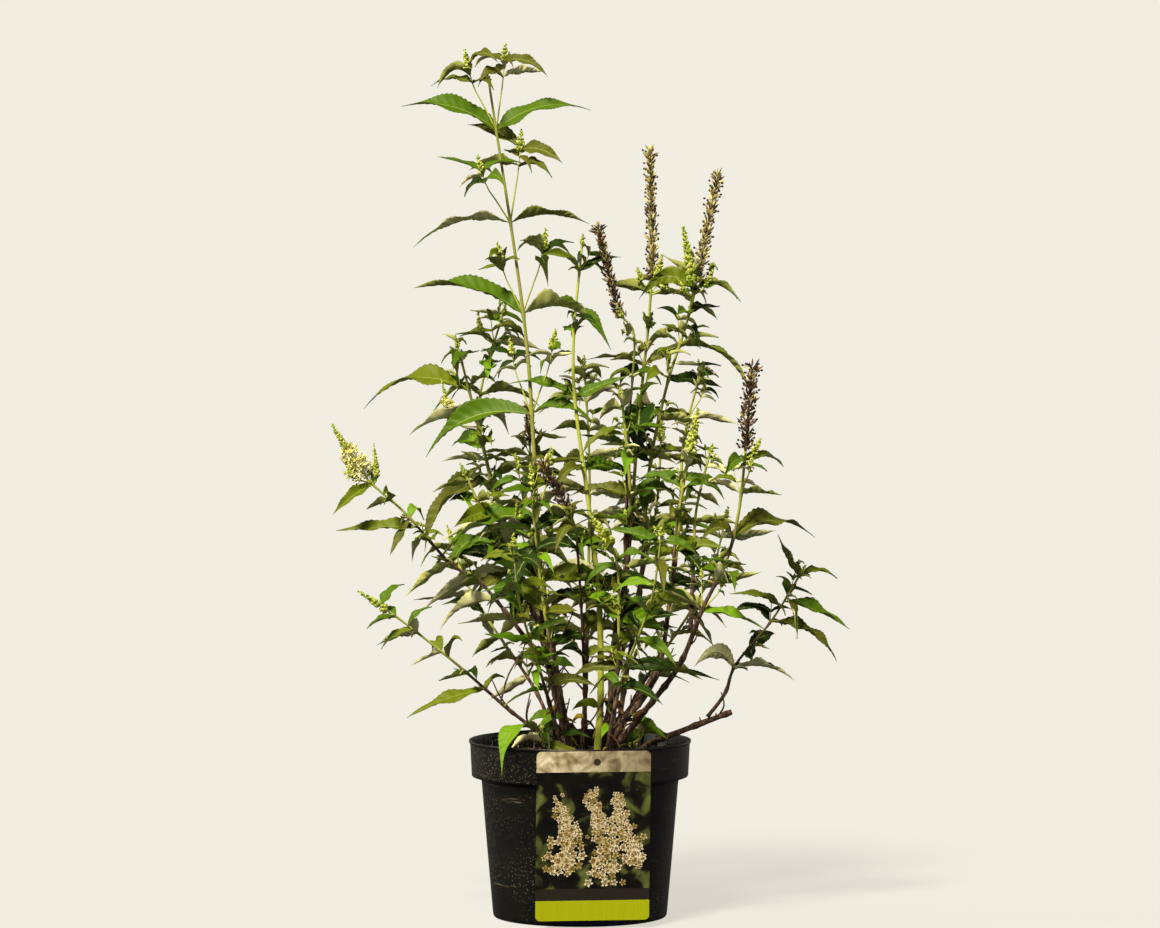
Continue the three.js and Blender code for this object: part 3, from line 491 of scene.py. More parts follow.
# Canes: green wood that ripens to brown, fissured bark from the foot up, each a bare bough with a leafy top. A row
# holds, in mm: name, points passed, radius at foot and tip, bare share, height up to which the bark is ripe, gap
# between leaf pairs, leaf, first pair's direction, turn to the next, chance of side shoots, their length, spike.
CANE_KEYS = ("name", "points", "radius", "bare", "ripe", "gap", "leaf", "first", "turn", "shoots", "shoot", "spike")
CANES = [
    ("leader", [(-6, -8), (-22, -10, 214), (-38, -10, 300), (-47, -14, 480), (-58, -16, 619), (-94, -20, 862)],
     (3.1, 1.3), 0.25, 330, 104, 124, 20, 172, 1, 92, ("bud", 14, 3)),
    ("centre", [(17, -20), (21, -20, 232), (19, -22, 330), (9, -22, 420), (-7, -24, 560), (3, -24, 697)], (3.6, 1.2),
     0.3, 120, 76, 80, 15, 62, 0.6, 24, ("bud", 12, 3)),
    ("short", [(20, -4), (31, -10, 214), (33, -12, 270), (49, -20, 372), (50, -26, 450), (41, -30, 540)], (3.5, 1.3),
     0.32, 430, 38, 70, 50, 80, 0.5, 28, ("bud", 10, 3)),
    ("tall_spike", [(18, 12), (34, 14, 236), (48, 22, 350), (60, 26, 505), (73, 24, 650), (71, 20, 790)], (2.8, 1.1),
     0.36, 420, 46, 68, 20, 84, 0.6, 30, ("old", 140, 8.5)),
    ("thin_spike", [(50, 6, 500), (55, -4, 592), (38, -6, 622), (17, -8, 710)], (2, 0.9), 0.3, 560, 50, 52, 0, 90,
     0.3, 18, ("old", 104, 6)),
    ("right_spike", [(36, 4), (44, 4, 226), (62, 8, 340), (70, 10, 450), (88, 8, 540), (112, 2, 620), (141, -4, 762)],
     (2.8, 1.1), 0.36, 400, 44, 88, -10, 78, 0.75, 36, ("old", 118, 10)),
    ("right_arm", [(24, -28), (42, -32, 198), (68, -36, 232), (82, -38, 266), (92, -40, 335), (99, -44, 410),
     (119, -52, 520)], (3.0, 1.1), 0.42, 400, 36, 68, 40, 84, 0.6, 30, ("bud", 54, 7)),
    ("right_fork", [(101, -10, 400), (106, 14, 484), (126, 24, 566)], (2.4, 1.1), 0.3, 380, 36, 60, 0, 88, 0.6, 32,
     ("bud", 12, 3)),
    ("far_right", [(22, -42), (66, -54, 216), (100, -62, 262), (122, -68, 316), (157, -66, 402), (174, -60, 570)],
     (3.2, 1.1), 0.4, 400, 48, 80, 8, 72, 0.6, 40, ("old", 92, 10.5)),
    ("far_right_fork", [(115, -48, 372), (118, -38, 420), (134, -34, 484)], (2.4, 1), 0.25, 380, 30, 56, 30, 86, 0.5,
     22, ("bud", 10, 3)),
    ("cut_arm", [(26, -14), (44, -18, 200), (62, -22, 228), (80, -24, 256)], (3.2, 2.6), 1, 900),
    ("over_rim", [(58, 26), (72, 28, 174), (110, 32, 189), (156, 36, 206)], (3.2, 2.7), 1, 900),
    ("low_right", [(149, 30, 226), (160, 26, 256), (196, 12, 302), (230, 0, 359)], (1.9, 1), 0.26, 300, 36, 78, 10,
     76, 0.4, 26, ("bud", 8, 2.5)),
    ("left", [(-12, 8), (-19, 10, 214), (-33, 12, 268), (-50, 14, 316), (-86, 16, 384), (-122, 14, 462)], (4.8, 1.2),
     0.42, 400, 30, 66, 0, 88, 0.6, 30, ("bud", 12, 3)),
    ("left_tall", [(-78, 30, 390), (-102, 36, 490), (-128, 38, 592)], (2.8, 1.2), 0.16, 380, 36, 92, 180, 60, 0.7, 34,
     ("bud", 12, 3)),
    ("left_inner", [(-8, 24), (-34, 34, 262), (-80, 54, 410), (-104, 56, 515), (-76, 46, 626)], (2.6, 1.1), 0.34, 360,
     38, 66, 30, 84, 0.5, 30, ("bud", 14, 3)),
    ("far_left", [(-98, 2, 338), (-132, -2, 361), (-178, -8, 413), (-218, -10, 450), (-252, -12, 503)], (2.4, 1),
     0.22, 400, 34, 66, 10, 80, 0.3, 24, ("cream", 66, 13)),
    ("low_left", [(-26, -18), (-46, -24, 192), (-76, -36, 218), (-128, -50, 265), (-184, -60, 310), (-223, -64, 337)],
     (2.2, 1), 0.36, 260, 34, 58, -20, 80, 0.25, 18, ("bud", 36, 5)),
    ("inner_left", [(-6, -28), (-30, -44, 280), (-44, -50, 380), (-50, -54, 466)], (2.2, 1.1), 0.3, 300, 30, 62, 70,
     86, 0.5, 28, ("bud", 24, 4)),
    ("inner_dark", [(6, 0), (4, -16, 260), (-2, -50, 370), (-8, -62, 410), (-40, -70, 470)], (2.2, 1.1), 0.3, 400, 32,
     64, 30, 86, 0.5, 28, ("old", 64, 9)),
    ("inner_right", [(30, -52), (36, -56, 230), (39, -60, 300), (36, -64, 370), (12, -66, 412)], (2.2, 1.1), 0.34,
     280, 30, 62, 20, 86, 0.5, 26, ("bud", 34, 7)),
    ("rear_left", [(-12, 38), (-24, 54, 250), (-48, 118, 410), (-54, 150, 520)], (2.6, 1.1), 0.28, 330, 40, 74, 40,
     82, 0.6, 32, ("old", 46, 6)),
    ("rear_middle", [(2, 34), (6, 56, 240), (10, 124, 440), (4, 146, 570)], (2.6, 1.1), 0.28, 330, 40, 74, 0, 82, 0.6,
     32, ("bud", 16, 4)),
    ("rear_right", [(18, 34), (40, 60, 250), (78, 132, 400), (86, 158, 510)], (2.6, 1.1), 0.28, 330, 40, 74, 60, 82,
     0.6, 32, ("bud", 30, 5)),
    ("rear_far_left", [(-24, 22), (-44, 44, 224), (-112, 128, 320), (-140, 158, 392)], (2.2, 1), 0.28, 280, 34, 68,
     20, 82, 0.5, 28, ("bud", 24, 4)),
    ("rear_far_right", [(32, 26), (62, 60, 228), (132, 142, 330), (156, 166, 410)], (2.2, 1), 0.28, 280, 34, 68, 70,
     82, 0.5, 28, ("bud", 18, 4)),
    ("front_left", [(-14, -42), (-38, -76, 250), (-60, -128, 330), (-66, -158, 400)], (2.2, 1), 0.28, 260, 34, 68, 10,
     82, 0.5, 28, ("bud", 16, 4)),
    ("front_right", [(24, -56), (42, -90, 250), (70, -136, 330), (82, -164, 410)], (2.2, 1), 0.28, 260, 34, 68, 50,
     82, 0.5, 28, ("bud", 16, 4)),
    ("rim_shoot", [(-37, -54, 182), (-39, -60, 204)], (1.8, 1.2), 0, 150, 22, 60, -38, 84, 0.5, 24, ("bud", 8, 2.5)),
    ("foot_shoot", [(60, -10, 182), (66, -14, 204)], (1.8, 1.2), 0, 150, 20, 46, 60, 84, 0.5, 20, ("bud", 8, 2.5)),
]
FORKS = {  # a fork's parent cane, and the ring of its bough where it leaves
    "thin_spike": ("tall_spike", 7), "right_fork": ("right_arm", 5.8), "far_right_fork": ("far_right", 6.6),
    "low_right": ("over_rim", 3.3), "left_tall": ("left", 5), "far_left": ("left", 4), "rim_shoot": ("low_left", 1),
    "foot_shoot": ("right_spike", 1)
}
TINTS = {"leader": 0.3, "centre": 0.02}  # how ripe the youngest bark of these is
CLEARANCE = 0.3
CANE_SIDES = 6
CANE_STEP = 32
RING_CROWDING = 1.4
FLARE = 0.25
FLARE_HEIGHT = 9
CURVE_STEPS = 200
UP = np.array([0.0, 0.0, 1.0])
REAR = np.array([0.0, 1.0, 0.0])


def unit(v):
    return v / np.linalg.norm(v, axis=-1, keepdims=True)


class Axis:
    """A limb's curve through its points, read by distance from the foot."""

    def __init__(self, points, radii, flare):
        points = np.array(points, float)
        self.ends = np.vstack([2 * points[0] - points[1], points, 2 * points[-1] - points[-2]])
        self.runs = len(points) - 1
        places = self.point_at(np.linspace(0, 1, CURVE_STEPS + 1))
        steps = np.linalg.norm(np.diff(places, axis=0), axis=1)
        self.lengths = np.concatenate([[0], np.cumsum(steps)])
        self.length = self.lengths[-1]
        self.radii = radii
        self.flare = flare

    def point_at(self, t):
        t = np.clip(t, 0, 1)
        run = np.minimum((t * self.runs).astype(int), self.runs - 1)
        w = (t * self.runs - run)[:, None]
        p0, p1, p2, p3 = (self.ends[run + i] for i in range(4))
        m1, m2 = (p2 - p0) / 2, (p3 - p1) / 2
        return p1 + m1 * w + (3 * (p2 - p1) - 2 * m1 - m2) * w ** 2 + (2 * (p1 - p2) + m1 + m2) * w ** 3

    def frames(self, s):
        s = np.atleast_1d(np.asarray(s, float))
        t = np.interp(s, self.lengths, np.linspace(0, 1, CURVE_STEPS + 1))
        points = self.point_at(t)
        tangents = unit(self.point_at(t + 1e-4) - self.point_at(t - 1e-4))
        across = unit(np.cross(REAR, tangents))
        radius = self.radii[0] + (self.radii[1] - self.radii[0]) * s / self.length
        radius = radius + self.radii[0] * self.flare * np.exp(-s / FLARE_HEIGHT)
        return points, tangents, across, np.cross(across, tangents), radius

    def frame_at(self, s):
        return [v[0] for v in self.frames(s)]


def bough_places(cane):
    steps = max(2, math.floor(cane["bare_length"] / CANE_STEP + 0.5) + 1)
    return cane["bare_length"] * (np.arange(steps + 1) / steps) ** RING_CROWDING


def on_run(cane, places, ring):
    """The frame on a limb's straight run between two of its rings, at a ring number with a fraction."""
    low, high = math.floor(ring), math.ceil(ring)
    share = ring % 1
    ends = cane["axis"].frames([places[low], places[high]])[0]
    frame_there = cane["axis"].frame_at(places[low] + (places[high] - places[low]) * share)
    frame_there[0] = ends[0] + (ends[1] - ends[0]) * share
    return frame_there


def fork_point(parent, ring, towards, radius):
    point, tangent, across, up, wide = on_run(parent, bough_places(parent), ring)
    way = unit(np.array(towards) - point)
    along = way @ tangent
    side = unit(way - tangent * along)
    half_face = math.pi / CANE_SIDES
    from_edge = math.atan2(side @ across, side @ up) % (2 * half_face)
    face = wide * math.cos(half_face) / math.cos(from_edge - half_face)
    return point + side * (face + CLEARANCE + radius * abs(along))


canes = {}
for row in CANES:
    cane = dict(zip(CANE_KEYS, row))
    points = [(*p, SOIL_LEVEL + CLEARANCE) if len(p) == 2 else p for p in cane["points"]]
    parent, ring = FORKS.get(cane["name"], (None, 0))
    if parent:
        points.insert(0, fork_point(canes[parent], ring, points[0], cane["radius"][0]))
    axis = Axis(points, cane["radius"], 0 if parent else FLARE)
    canes[cane["name"]] = {**cane, "axis": axis, "bare_length": cane["bare"] * axis.length}

# A cane's skin is a tube of many rings. Old bark is ridged and flakes in long strips, young bark is nearly
# smooth, and both swell at the nodes, where old leaf pairs have left their scars.
BOUGH_SIDES = 16
RING_STEP = 3.2
RIDGES = 5
BARK_RELIEF = 0.11  # of the radius
NODE_SWELLING = 0.34
NODE_GAP = 34.0
NODE_WIDTH = 3.0
RIDGE_LENGTH = 22
FLAKE_LENGTH = 7
RIPENING = 60  # the height over which green bark turns brown
BOUGH_TINT = 0.12

tubes = {}


def tube(sides, rings):
    """A closed straight tube: rings at heights 0 to rings - 1, and a middle point at each end."""
    if (sides, rings) not in tubes:
        profile = [(0, 0)] + [(1, i) for i in range(rings)] + [(0, rings - 1)]
        tubes[sides, rings] = arrays_of(spun(profile, sides))
    return tubes[sides, rings]


def bend_tube(axis_frames, sides, relief=None):
    """Lays a straight tube along a row of frames. relief(angles, rings) multiplies the radius."""
    points, tangents, across, up, radius = axis_frames
    spots, faces, slots = tube(sides, len(points))
    ring = np.rint(spots[:, 2]).astype(int)
    wide = radius[ring, None] * (1 if relief is None else relief(np.arctan2(spots[:, 1], spots[:, 0]), ring)[:, None])
    bent = points[ring] + (across[ring] * spots[:, :1] - up[ring] * spots[:, 1:2]) * wide
    return bent, faces, slots


def ripe_at(cane, s, least):
    """How ripe a cane's bark is, at distances s from its foot."""
    z = cane["axis"].frames(s)[0][:, 2]
    return np.clip((cane["ripe"] - z) / RIPENING + 0.5, TINTS.get(cane["name"], least), 1)


def bark_relief(cane, s):
    """How the bark stands out or in round a cane, at distances s from its foot."""
    seed = 31.7 * len(cane["name"]) + cane["points"][0][0]
    ripe = ripe_at(cane, s, BOUGH_TINT)

    def relief(angles, ring):
        ridge = np.array([noise.noise((2.2 * math.cos(RIDGES * a / 2.5) + seed, 2.2 * math.sin(RIDGES * a / 2.5),
                                       s[i] / RIDGE_LENGTH)) for a, i in zip(angles, ring)])
        flake = np.array([noise.noise((3 * math.cos(a), 3 * math.sin(a) + seed, s[i] / FLAKE_LENGTH))
                          for a, i in zip(angles, ring)])
        to_node = (s[ring] + NODE_GAP / 2) % NODE_GAP - NODE_GAP / 2
        swelling = NODE_SWELLING * np.exp(-(to_node / NODE_WIDTH) ** 2)
        return 1 + ripe[ring] * BARK_RELIEF * (1.4 * ridge + 0.7 * flake) + swelling * (0.4 + 0.6 * ripe[ring])

    return relief, ripe


bark_corners, bark_faces, bark_slots, ripeness = [], [], [], []
for cane in canes.values():
    if not cane["bare"]:
        continue
    s = np.linspace(0, cane["bare_length"], max(8, round(cane["bare_length"] / RING_STEP)))
    relief, ripe = bark_relief(cane, s)
    bent, faces, slots = bend_tube(cane["axis"].frames(s), BOUGH_SIDES, relief)
    if cane["name"] not in FORKS:
        bent[:, 2] = np.maximum(bent[:, 2], SOIL_LEVEL - 2)
    ring = np.rint(tube(BOUGH_SIDES, len(s))[0][:, 2]).astype(int)
    if cane["bare"] == 1:
        slots = np.array([int(ring[face].min() == len(s) - 1) for face in faces])
    bark_corners.append(bent[None])
    bark_faces.append(faces)
    bark_slots.append(slots[None])
    ripeness.append(ripe[ring])

# Bark of green and ripened wood: the young skin is a dull yellow-green with a fine down, the old one brown with
# pale grey-tan flakes between dark cracks. Canes that were cut back end in a pale sawn face.
bark, tree, shader = surface("shrub_bark", "#5c4633", 0.85, Sheen_Weight=0.1)
place = add(tree, "TexCoord").outputs["Object"]
age = add(tree, "Attribute", attribute_name="ripeness").outputs["Fac"]
fibres = add(tree, "Mapping", {"Vector": place, "Scale": (420, 420, 60)})
fibre = add(tree, "TexNoise", {"Vector": fibres, "Scale": 1, "Detail": 5, "Roughness": 0.65})
old_bark = add(tree, "ValToRGB", {"Fac": fibre}, [(0.3, "#170a05"), (0.5, "#3a2216"), (0.75, "#947350")])
green_wood = add(tree, "ValToRGB", {"Fac": age}, [(0.05, "#a3ad35"), (0.4, "#6f702e")])
lit_fibre = add(tree, "MapRange", {"Value": fibre, "To Min": 0.72, "To Max": 1.25})
young_bark = add(tree, "Mix", {"Factor": 1, "A": green_wood, "B": lit_fibre}, data_type="RGBA",
                 blend_type="MULTIPLY")
ripened = add(tree, "MapRange", {"Value": age, "From Min": 0.35, "From Max": 0.8})
bark_colour = add(tree, "Mix", {"Factor": ripened, "A": young_bark, "B": old_bark}, data_type="RGBA")
bump = add(tree, "Bump", {"Height": fibre, "Strength": 0.5, "Distance": 0.0006})
add(tree, shader, {"Base Color": bark_colour, "Normal": bump})
sawn_wood = surface("sawn_wood", "#c9b48a", 0.8)[0]
linked("woody_canes", bark_corners, bark_faces, bark_slots, [bark, sawn_wood], "cane_bark",
       [f"cane_{name}" for name, cane in canes.items() if cane["bare"]], ripeness=np.concatenate(ripeness))


# Stems of the leafy tops: each grows on from its bough's tip, green and squarish with swollen nodes, and ends
# inside its spike. A leaf pair stands half way between every two of its rings.
FIRST_STEP = 16
LOW_GAP = 1.05  # the first gap between leaf pairs, of the cane's gap, and how far the last ones close up
GAP_CLOSING = 0.5
LAST_STEP = 1.4
SPIKE_SEAT = 3  # how far a stem runs into its spike
STEM_TUBE_SIDES = 10
STEM_RING_STEP = 5.0
STEM_WIDTH = 0.82  # of the radius that the growth rule gives
STEM_SWELLING = 0.45
STEM_SQUARE = 0.06
STEM_RIPE = 0.9
STEM_TINT = 0.24
TWIG_SIDES = 6
REAR_PART = 100  # a cane whose tip is further back or to the side than this belongs to that part of the crown
SIDE_PART = 70


def spike_foot(cane):
    return cane["axis"].length - cane["spike"][1]


def stem_places(cane):
    """Distances of a stem's rings from its cane's foot, by the growth rule."""
    foot = cane["bare_length"]
    leafy = spike_foot(cane) - foot
    places = [foot + CLEARANCE]
    step = FIRST_STEP
    while places[-1] + LAST_STEP * step < spike_foot(cane):
        places.append(places[-1] + step)
        step = cane["gap"] * (LOW_GAP - GAP_CLOSING * ((places[-1] - foot) / leafy) ** 2)
    return places + [spike_foot(cane) + SPIKE_SEAT]


def side_of(cane):
    """The part of the crown that a cane belongs to: its pieces are joined by part."""
    x, y = cane["axis"].point_at(np.array([1.0]))[0][:2]
    if y > REAR_PART:
        return "rear"
    return "left" if x < -SIDE_PART else "right" if x > SIDE_PART else "middle"


stem_lots, stem_ripeness = {}, {}


def add_stem(cane, bent_tube, ripe=0.0):
    """Notes a bent tube for its part of the crown, with how ripe its bark is."""
    bent, faces, slots = bent_tube
    stem_lots.setdefault(side_of(cane), []).append((bent[None], faces, slots[None]))
    stem_ripeness.setdefault(side_of(cane), []).append(np.broadcast_to(ripe, len(bent)))


def add_twig(cane, points, radii, rings, ripe=0.0):
    """Lays a thin stem through its points and returns its line."""
    line = Axis(points, radii, 0)
    add_stem(cane, bend_tube(line.frames(np.linspace(0, line.length, rings)), TWIG_SIDES), ripe)
    return line


for cane in canes.values():
    if "spike" not in cane:
        continue
    places = stem_places(cane)
    nodes_at = (np.array(places[1:]) + places[:-1]) / 2
    s = np.arange(places[0], places[-1], STEM_RING_STEP)
    s = np.append(s, places[-1])
    ripe = STEM_RIPE * ripe_at(cane, s, STEM_TINT)

    def relief(angles, ring):
        to_node = np.min(np.abs(s[ring][:, None] - nodes_at[None]), axis=1)
        square = 1 + STEM_SQUARE * np.cos(4 * angles)
        return STEM_WIDTH * square * (1 + STEM_SWELLING * np.exp(-(to_node / NODE_WIDTH) ** 2))

    ring = np.rint(tube(STEM_TUBE_SIDES, len(s))[0][:, 2]).astype(int)
    add_stem(cane, bend_tube(cane["axis"].frames(s), STEM_TUBE_SIDES, relief), ripe[ring])


# Leaves: opposite, lance-shaped and toothed, deep green above and felted grey-white beneath, with a pale raised
# midrib. They sit on the stem by a short stalk, rise with it, then arch over and droop, and the outer half twists.
LEAF_WIDTH = 0.245
LEAF_FULLNESS = 1.12
LEAF_SPREAD = (0.75, 1.15)
LEAF_RISE = (0.15, 0.85)
LEAF_DROOP = (0.1, 1.2)
LEAF_ROLL = (0.25, 0.95)
TOP_LEAF = 0.28
ROOT_DEPTH = 1.3
TURN_SPREAD = 0.15
AIM_SPREAD = 0.2
LONG_SHOOT = 38
SHOOT_SPREAD = (0.7, 1.2)
SHOOT_LEAN = (1.1, 1.3)
SHOOT_BEND = 0.6
SHOOT_NODES = (0.62, 0.8)
SHOOT_LEAF = 0.42
SHOOT_BUD = 0.76
TWIG_RADIUS = 0.9
TUFT_RISE = (0.95, 1.2)
TUFT_BEND = 0.45  # of its length, as all of a tuft's and a side shoot's sizes are
TUFT_TIP = 0.4
TUFT_NODES = (0.45, 0.85)
TUFT_LEAF = 0.95
TUFT_BUD = 0.85
TUFT_RADIUS = 0.7  # of a side shoot's
OWN_NODE = 0.72  # a side shoot's third pair of leaves, above the rule's two
OWN_LEAF = 0.4
OWN_SIZE = 1.15
OWN_TAPER = 0.6
LEAF_SIZES = [(80, 48, 7), (50, 32, 7), (32, 16, 4), (0, 6, 2)]  # from this length up: rows and strips of a leaf
BREADTH = (0.82, 1.14)  # how broad a leaf is, of the usual
TWIST_SPREAD = 0.55
OWN_RISE = (-0.1, 1.15)
OWN_DROOP = (-0.2, 1.4)
YOUNG_SIZE = 0.24  # two young leaves stand in each axil that has no shoot
YOUNG_TURN = 0.5
YOUNG_RISE = (0.8, 1.2)
POT_WALL = 106  # from this radius outwards a low leaf would be in the rim
LEAF_TRIALS = (0.3, 0.45, 0.55, 0.65, 0.8, 0.9, 1.0)  # places along a leaf where it is tried against the pot
FACING = 0.82  # share of the leaves that turn their upper side out to the light
SHADED = 290  # under this height the leaves have stayed small
SHADED_SIZE = 0.86
TOP_LIGHT = (470, 620)  # between these heights a side twig's leaves outgrow the rule's, the more the higher
SIDE_LEAF = 1.5
MIDRIB = 0.05  # half its width, of the leaf's half width
RIM = 0.9  # from here out the blade thins and the teeth begin
TOOTH = 0.05  # of the leaf's half width
VEIN_SLANT = 0.09  # how far a side vein runs towards the tip, of the leaf's length
BLADE = 0.45  # thickness
FOLD = 0.5  # how far the margins stand over the midrib, of the half width
WAVE = 0.28
QUILTING = 1.1  # how far the blade puffs up between side veins, with a spread below
SAG = (-0.18, 0.14)  # how far the tip hangs or lifts, of the length
SWAY = 0.06
FOLD_SPREAD = (0.3, 1.4)
RIPPLES = (1.5, 3.0)
QUILT_SPREAD = (0.6, 1.2)
STALK = (0.7, 0.006)  # half width of a leaf's stalk, and what each millimetre of the leaf adds to it


# Leaves that stand out, by cane, then place up the stem and side: length, rise, droop, roll, twist, tone, breadth.
SET_LEAVES = {
    "leader": {(2, 0): (74, 0.52, 0.7, -0.5, 0, 0), (2, 1): (134, 0.28, 0.96, 0.8, 0, 0, 0.8),
        (3, 0): (118, 0.8, 0.39, 0.75, -1.4, 0), (3, 1): (120, 0.32, 1.22, 0.5, -1.4, 0),
        (4, 0): (86, 0.29, 0.69, 0.25, 0.1, 4), (4, 1): (104, 0.42, 0.73, -0.25, 0, 4),
        (5, 0): (100, 0.86, 0.31, 0.8, -0.6, 0), (5, 1): (100, 0.57, 0.31, -0.8, 0.5, 0)},
    "left_tall": {(6, 0): (122, 0.73, 0.62, 0.6, -0.6, 2), (3, 1): (105, 0.15, 1.25, 0.7, 0, 4)},
    "right_spike": {(5, 0): (112, 0.41, 1.15, 0.3, 0.2, 2)}, "far_right": {(2, 1): (115, 0.77, 0.75, -0.4, 0.3, 4)},
    "low_right": {(2, 1): (92, 0.6, 1.25, -0.3, 0, 4), (4, 0): (44, 0.95, 0.5, -0.4, 0, 2),
        (4, 1): (54, 0.45, -0.9, 0.3, 0.2, 2), (3, 1): (48, -0.1, 1.3, 0.6, 0.2, 4)},
    "tall_spike": {(3, 1): (74, -0.25, 1.5, 0, 0, 1, 1.8)}, "rim_shoot": {(2, 0): (100, 0.6, 1.45, 0, 0.2, 3)},
    "foot_shoot": {(1, 0): (44, 1.25, 0.1, 0.3, 0.4, 3)}, "inner_right": {(0, 0): (96, 0.1, 0.35, -0.5, 0.8, 1),
        (2, 1): (44, 0.95, 0.1, -0.6, 0.2, 1), (1, 0): (38, 1, 0.2, -0.4, 0.2, 1)},
    "centre": {(0, 0): (66, 0.6, 0.3, -0.8, 0, 1, 1.2)}, "short": {(0, 0): (78, 0.75, 0.1, -0.9, 0, 1)},
    "far_left": {(6, 0): (62, 0.35, 0.9, 0.6, 0, 2), (6, 1): (42, 0.5, 0.9, -0.5, 0, 0),
        (4, 0): (42, 0.6, 0.9, -0.4, 0, 3), (4, 1): (46, -0.2, 1.2, 0.5, 0.3, 4)},
    "low_left": {(0, 1): (78, 0.7, 0.3, 0.5, 0, 2)}, "front_right": {(2, 0): (34, 1, 0.3, -0.5, 0, 1)},
}

MULTIPLIER = 48271
MODULUS = 2147483647
FIRST_SEED = 1000
SEED_STEP = 37


def seeded(seed):
    """The growth rule's random numbers, the same on every run."""
    state = seed

    def draw(low=0.0, high=1.0):
        nonlocal state
        state = state * MULTIPLIER % MODULUS
        return low + (high - low) * (state / MODULUS)

    return draw


def leaf_shape(rows, strips):
    """A closed flat leaf in a unit square: x across from -1 to 1, y along from 0 to 1, z 0 above and -1 below.
    Slot 0 is the upper side with its rim, 1 the lower side, and 2 the midrib."""
    body = bmesh.new()
    bmesh.ops.create_grid(body, x_segments=strips, y_segments=rows, size=1)
    columns = {7: [-1, -RIM, -0.45, -MIDRIB, MIDRIB, 0.45, RIM, 1], 4: [-1, -0.5, 0, 0.5, 1], 2: [-1, 0, 1]}[strips]
    for vert in body.verts:
        vert.co.x = columns[round((vert.co.x + 1) / 2 * strips)]
        vert.co.y = (vert.co.y + 1) / 2
    thicken(body, -1)
    for face in body.faces:
        middle = face.calc_center_median()
        on_rib = strips > 4 and abs(middle.x) < MIDRIB / 2
        on_edge = middle.z > -0.9 and abs(middle.x) > RIM
        face.material_index = 2 if on_rib else 0 if middle.z > -0.01 or on_edge else 1
    return arrays_of(body)


leaves = {}


def inside_pot(point):
    """Whether a leaf at this point would be in the compost or in the pot's wall."""
    out = math.hypot(point[0], point[1])
    in_compost = point[2] < SOIL_LEVEL + 1 and out < RIM_RADIUS
    return in_compost or point[2] < POT_HEIGHT + 1.5 and POT_WALL < out < RIM_RADIUS + 2


def lay_leaf(cane, spray, point, tangent, radius, out, length, rise, droop, roll, twist=None, tone=None,
             breadth=None):
    """Notes a leaf for its part of the crown: its midrib, its sideways direction, its turn and its colours."""
    foot = point + out * (1 - ROOT_DEPTH) * radius
    way = unit(out * math.cos(rise) + tangent * math.sin(rise))
    level = np.array([way[0], way[1], 0]) + 0.05 * out
    level[2] = 0
    level = unit(level)
    reach = 0.5 * LEAF_FULLNESS * length
    crest = foot + way * reach
    tip = crest + level * reach * math.cos(droop) - UP * reach * math.sin(droop)
    if any(inside_pot((1 - t) ** 2 * foot + 2 * t * (1 - t) * crest + t * t * tip) for t in LEAF_TRIALS):
        return
    flat = np.cross(level, UP)
    if twist is None:
        twist = luck.normal(0, TWIST_SPREAD)
        if luck.uniform() < FACING:
            roll = -abs(roll) * np.sign(flat @ (crest * [1, 1, 0]))
    breadth = breadth or luck.uniform(*BREADTH)
    leaves.setdefault(side_of(cane), []).append((foot, crest, tip, flat, roll, length, twist, spray, tone, breadth))


def leaf_habit(size, draw):
    return dict(length=size * draw(*LEAF_SPREAD), rise=draw(*LEAF_RISE), droop=draw(*LEAF_DROOP),
                roll=draw(*LEAF_ROLL) * (-1 if draw() < 0.5 else 1))


def own_habit(size):
    """A habit for the finer leaves that the rule's own numbers don't reach."""
    return dict(length=size * luck.uniform(*LEAF_SPREAD), rise=luck.uniform(*OWN_RISE),
                droop=luck.uniform(*OWN_DROOP), roll=luck.uniform(*LEAF_ROLL) * luck.choice([-1, 1]))


def radial(across, up, azimuth):
    return across * math.cos(azimuth) + up * math.sin(azimuth)


def grow_twig(cane, spray, point, bend, tip, radius, pairs, leaf, bud):
    """A side twig on a bent line, with leaf pairs at shares of its length and a bud or bud spike at its tip."""
    line = add_twig(cane, [point, point + 0.55 * (bend - point), bend, tip], (radius, 0.55 * radius), 9)
    vigour = np.interp(point[2], TOP_LIGHT, (1, SIDE_LEAF))
    for share, azimuth, habits in pairs:
        at, tangent, across, up, wide = line.frame_at(share * line.length)
        for i, habit in enumerate(habits):
            out = radial(across, up, azimuth + math.pi * i)
            habit = habit or own_habit(leaf * (OWN_SIZE - OWN_TAPER * share))
            habit["length"] *= vigour
            lay_leaf(cane, spray, at, tangent, wide, out, **habit)
    twigs.append((line, bud))


twigs = []


def grow_shoot(cane, spray, frame_there, out, length, draw):
    point, tangent = frame_there[:2]
    lean = draw(*SHOOT_LEAN)
    pairs = []
    for place in SHOOT_NODES:
        azimuth = draw(0, math.pi)
        pairs.append((place, azimuth, [leaf_habit(length * SHOOT_LEAF, draw) for _ in range(2)]))
    way = tangent * math.sin(lean) + out * math.cos(lean)
    bend = point + way * SHOOT_BEND * length
    upwards = unit((UP + way) / 2)
    tip = bend + upwards * (1 - SHOOT_BEND) * length
    pairs.append((OWN_NODE, luck.uniform(0, math.pi), [None, None]))
    grow_twig(cane, spray, point, bend, tip, TWIG_RADIUS, pairs, OWN_LEAF * length, SHOOT_BUD)


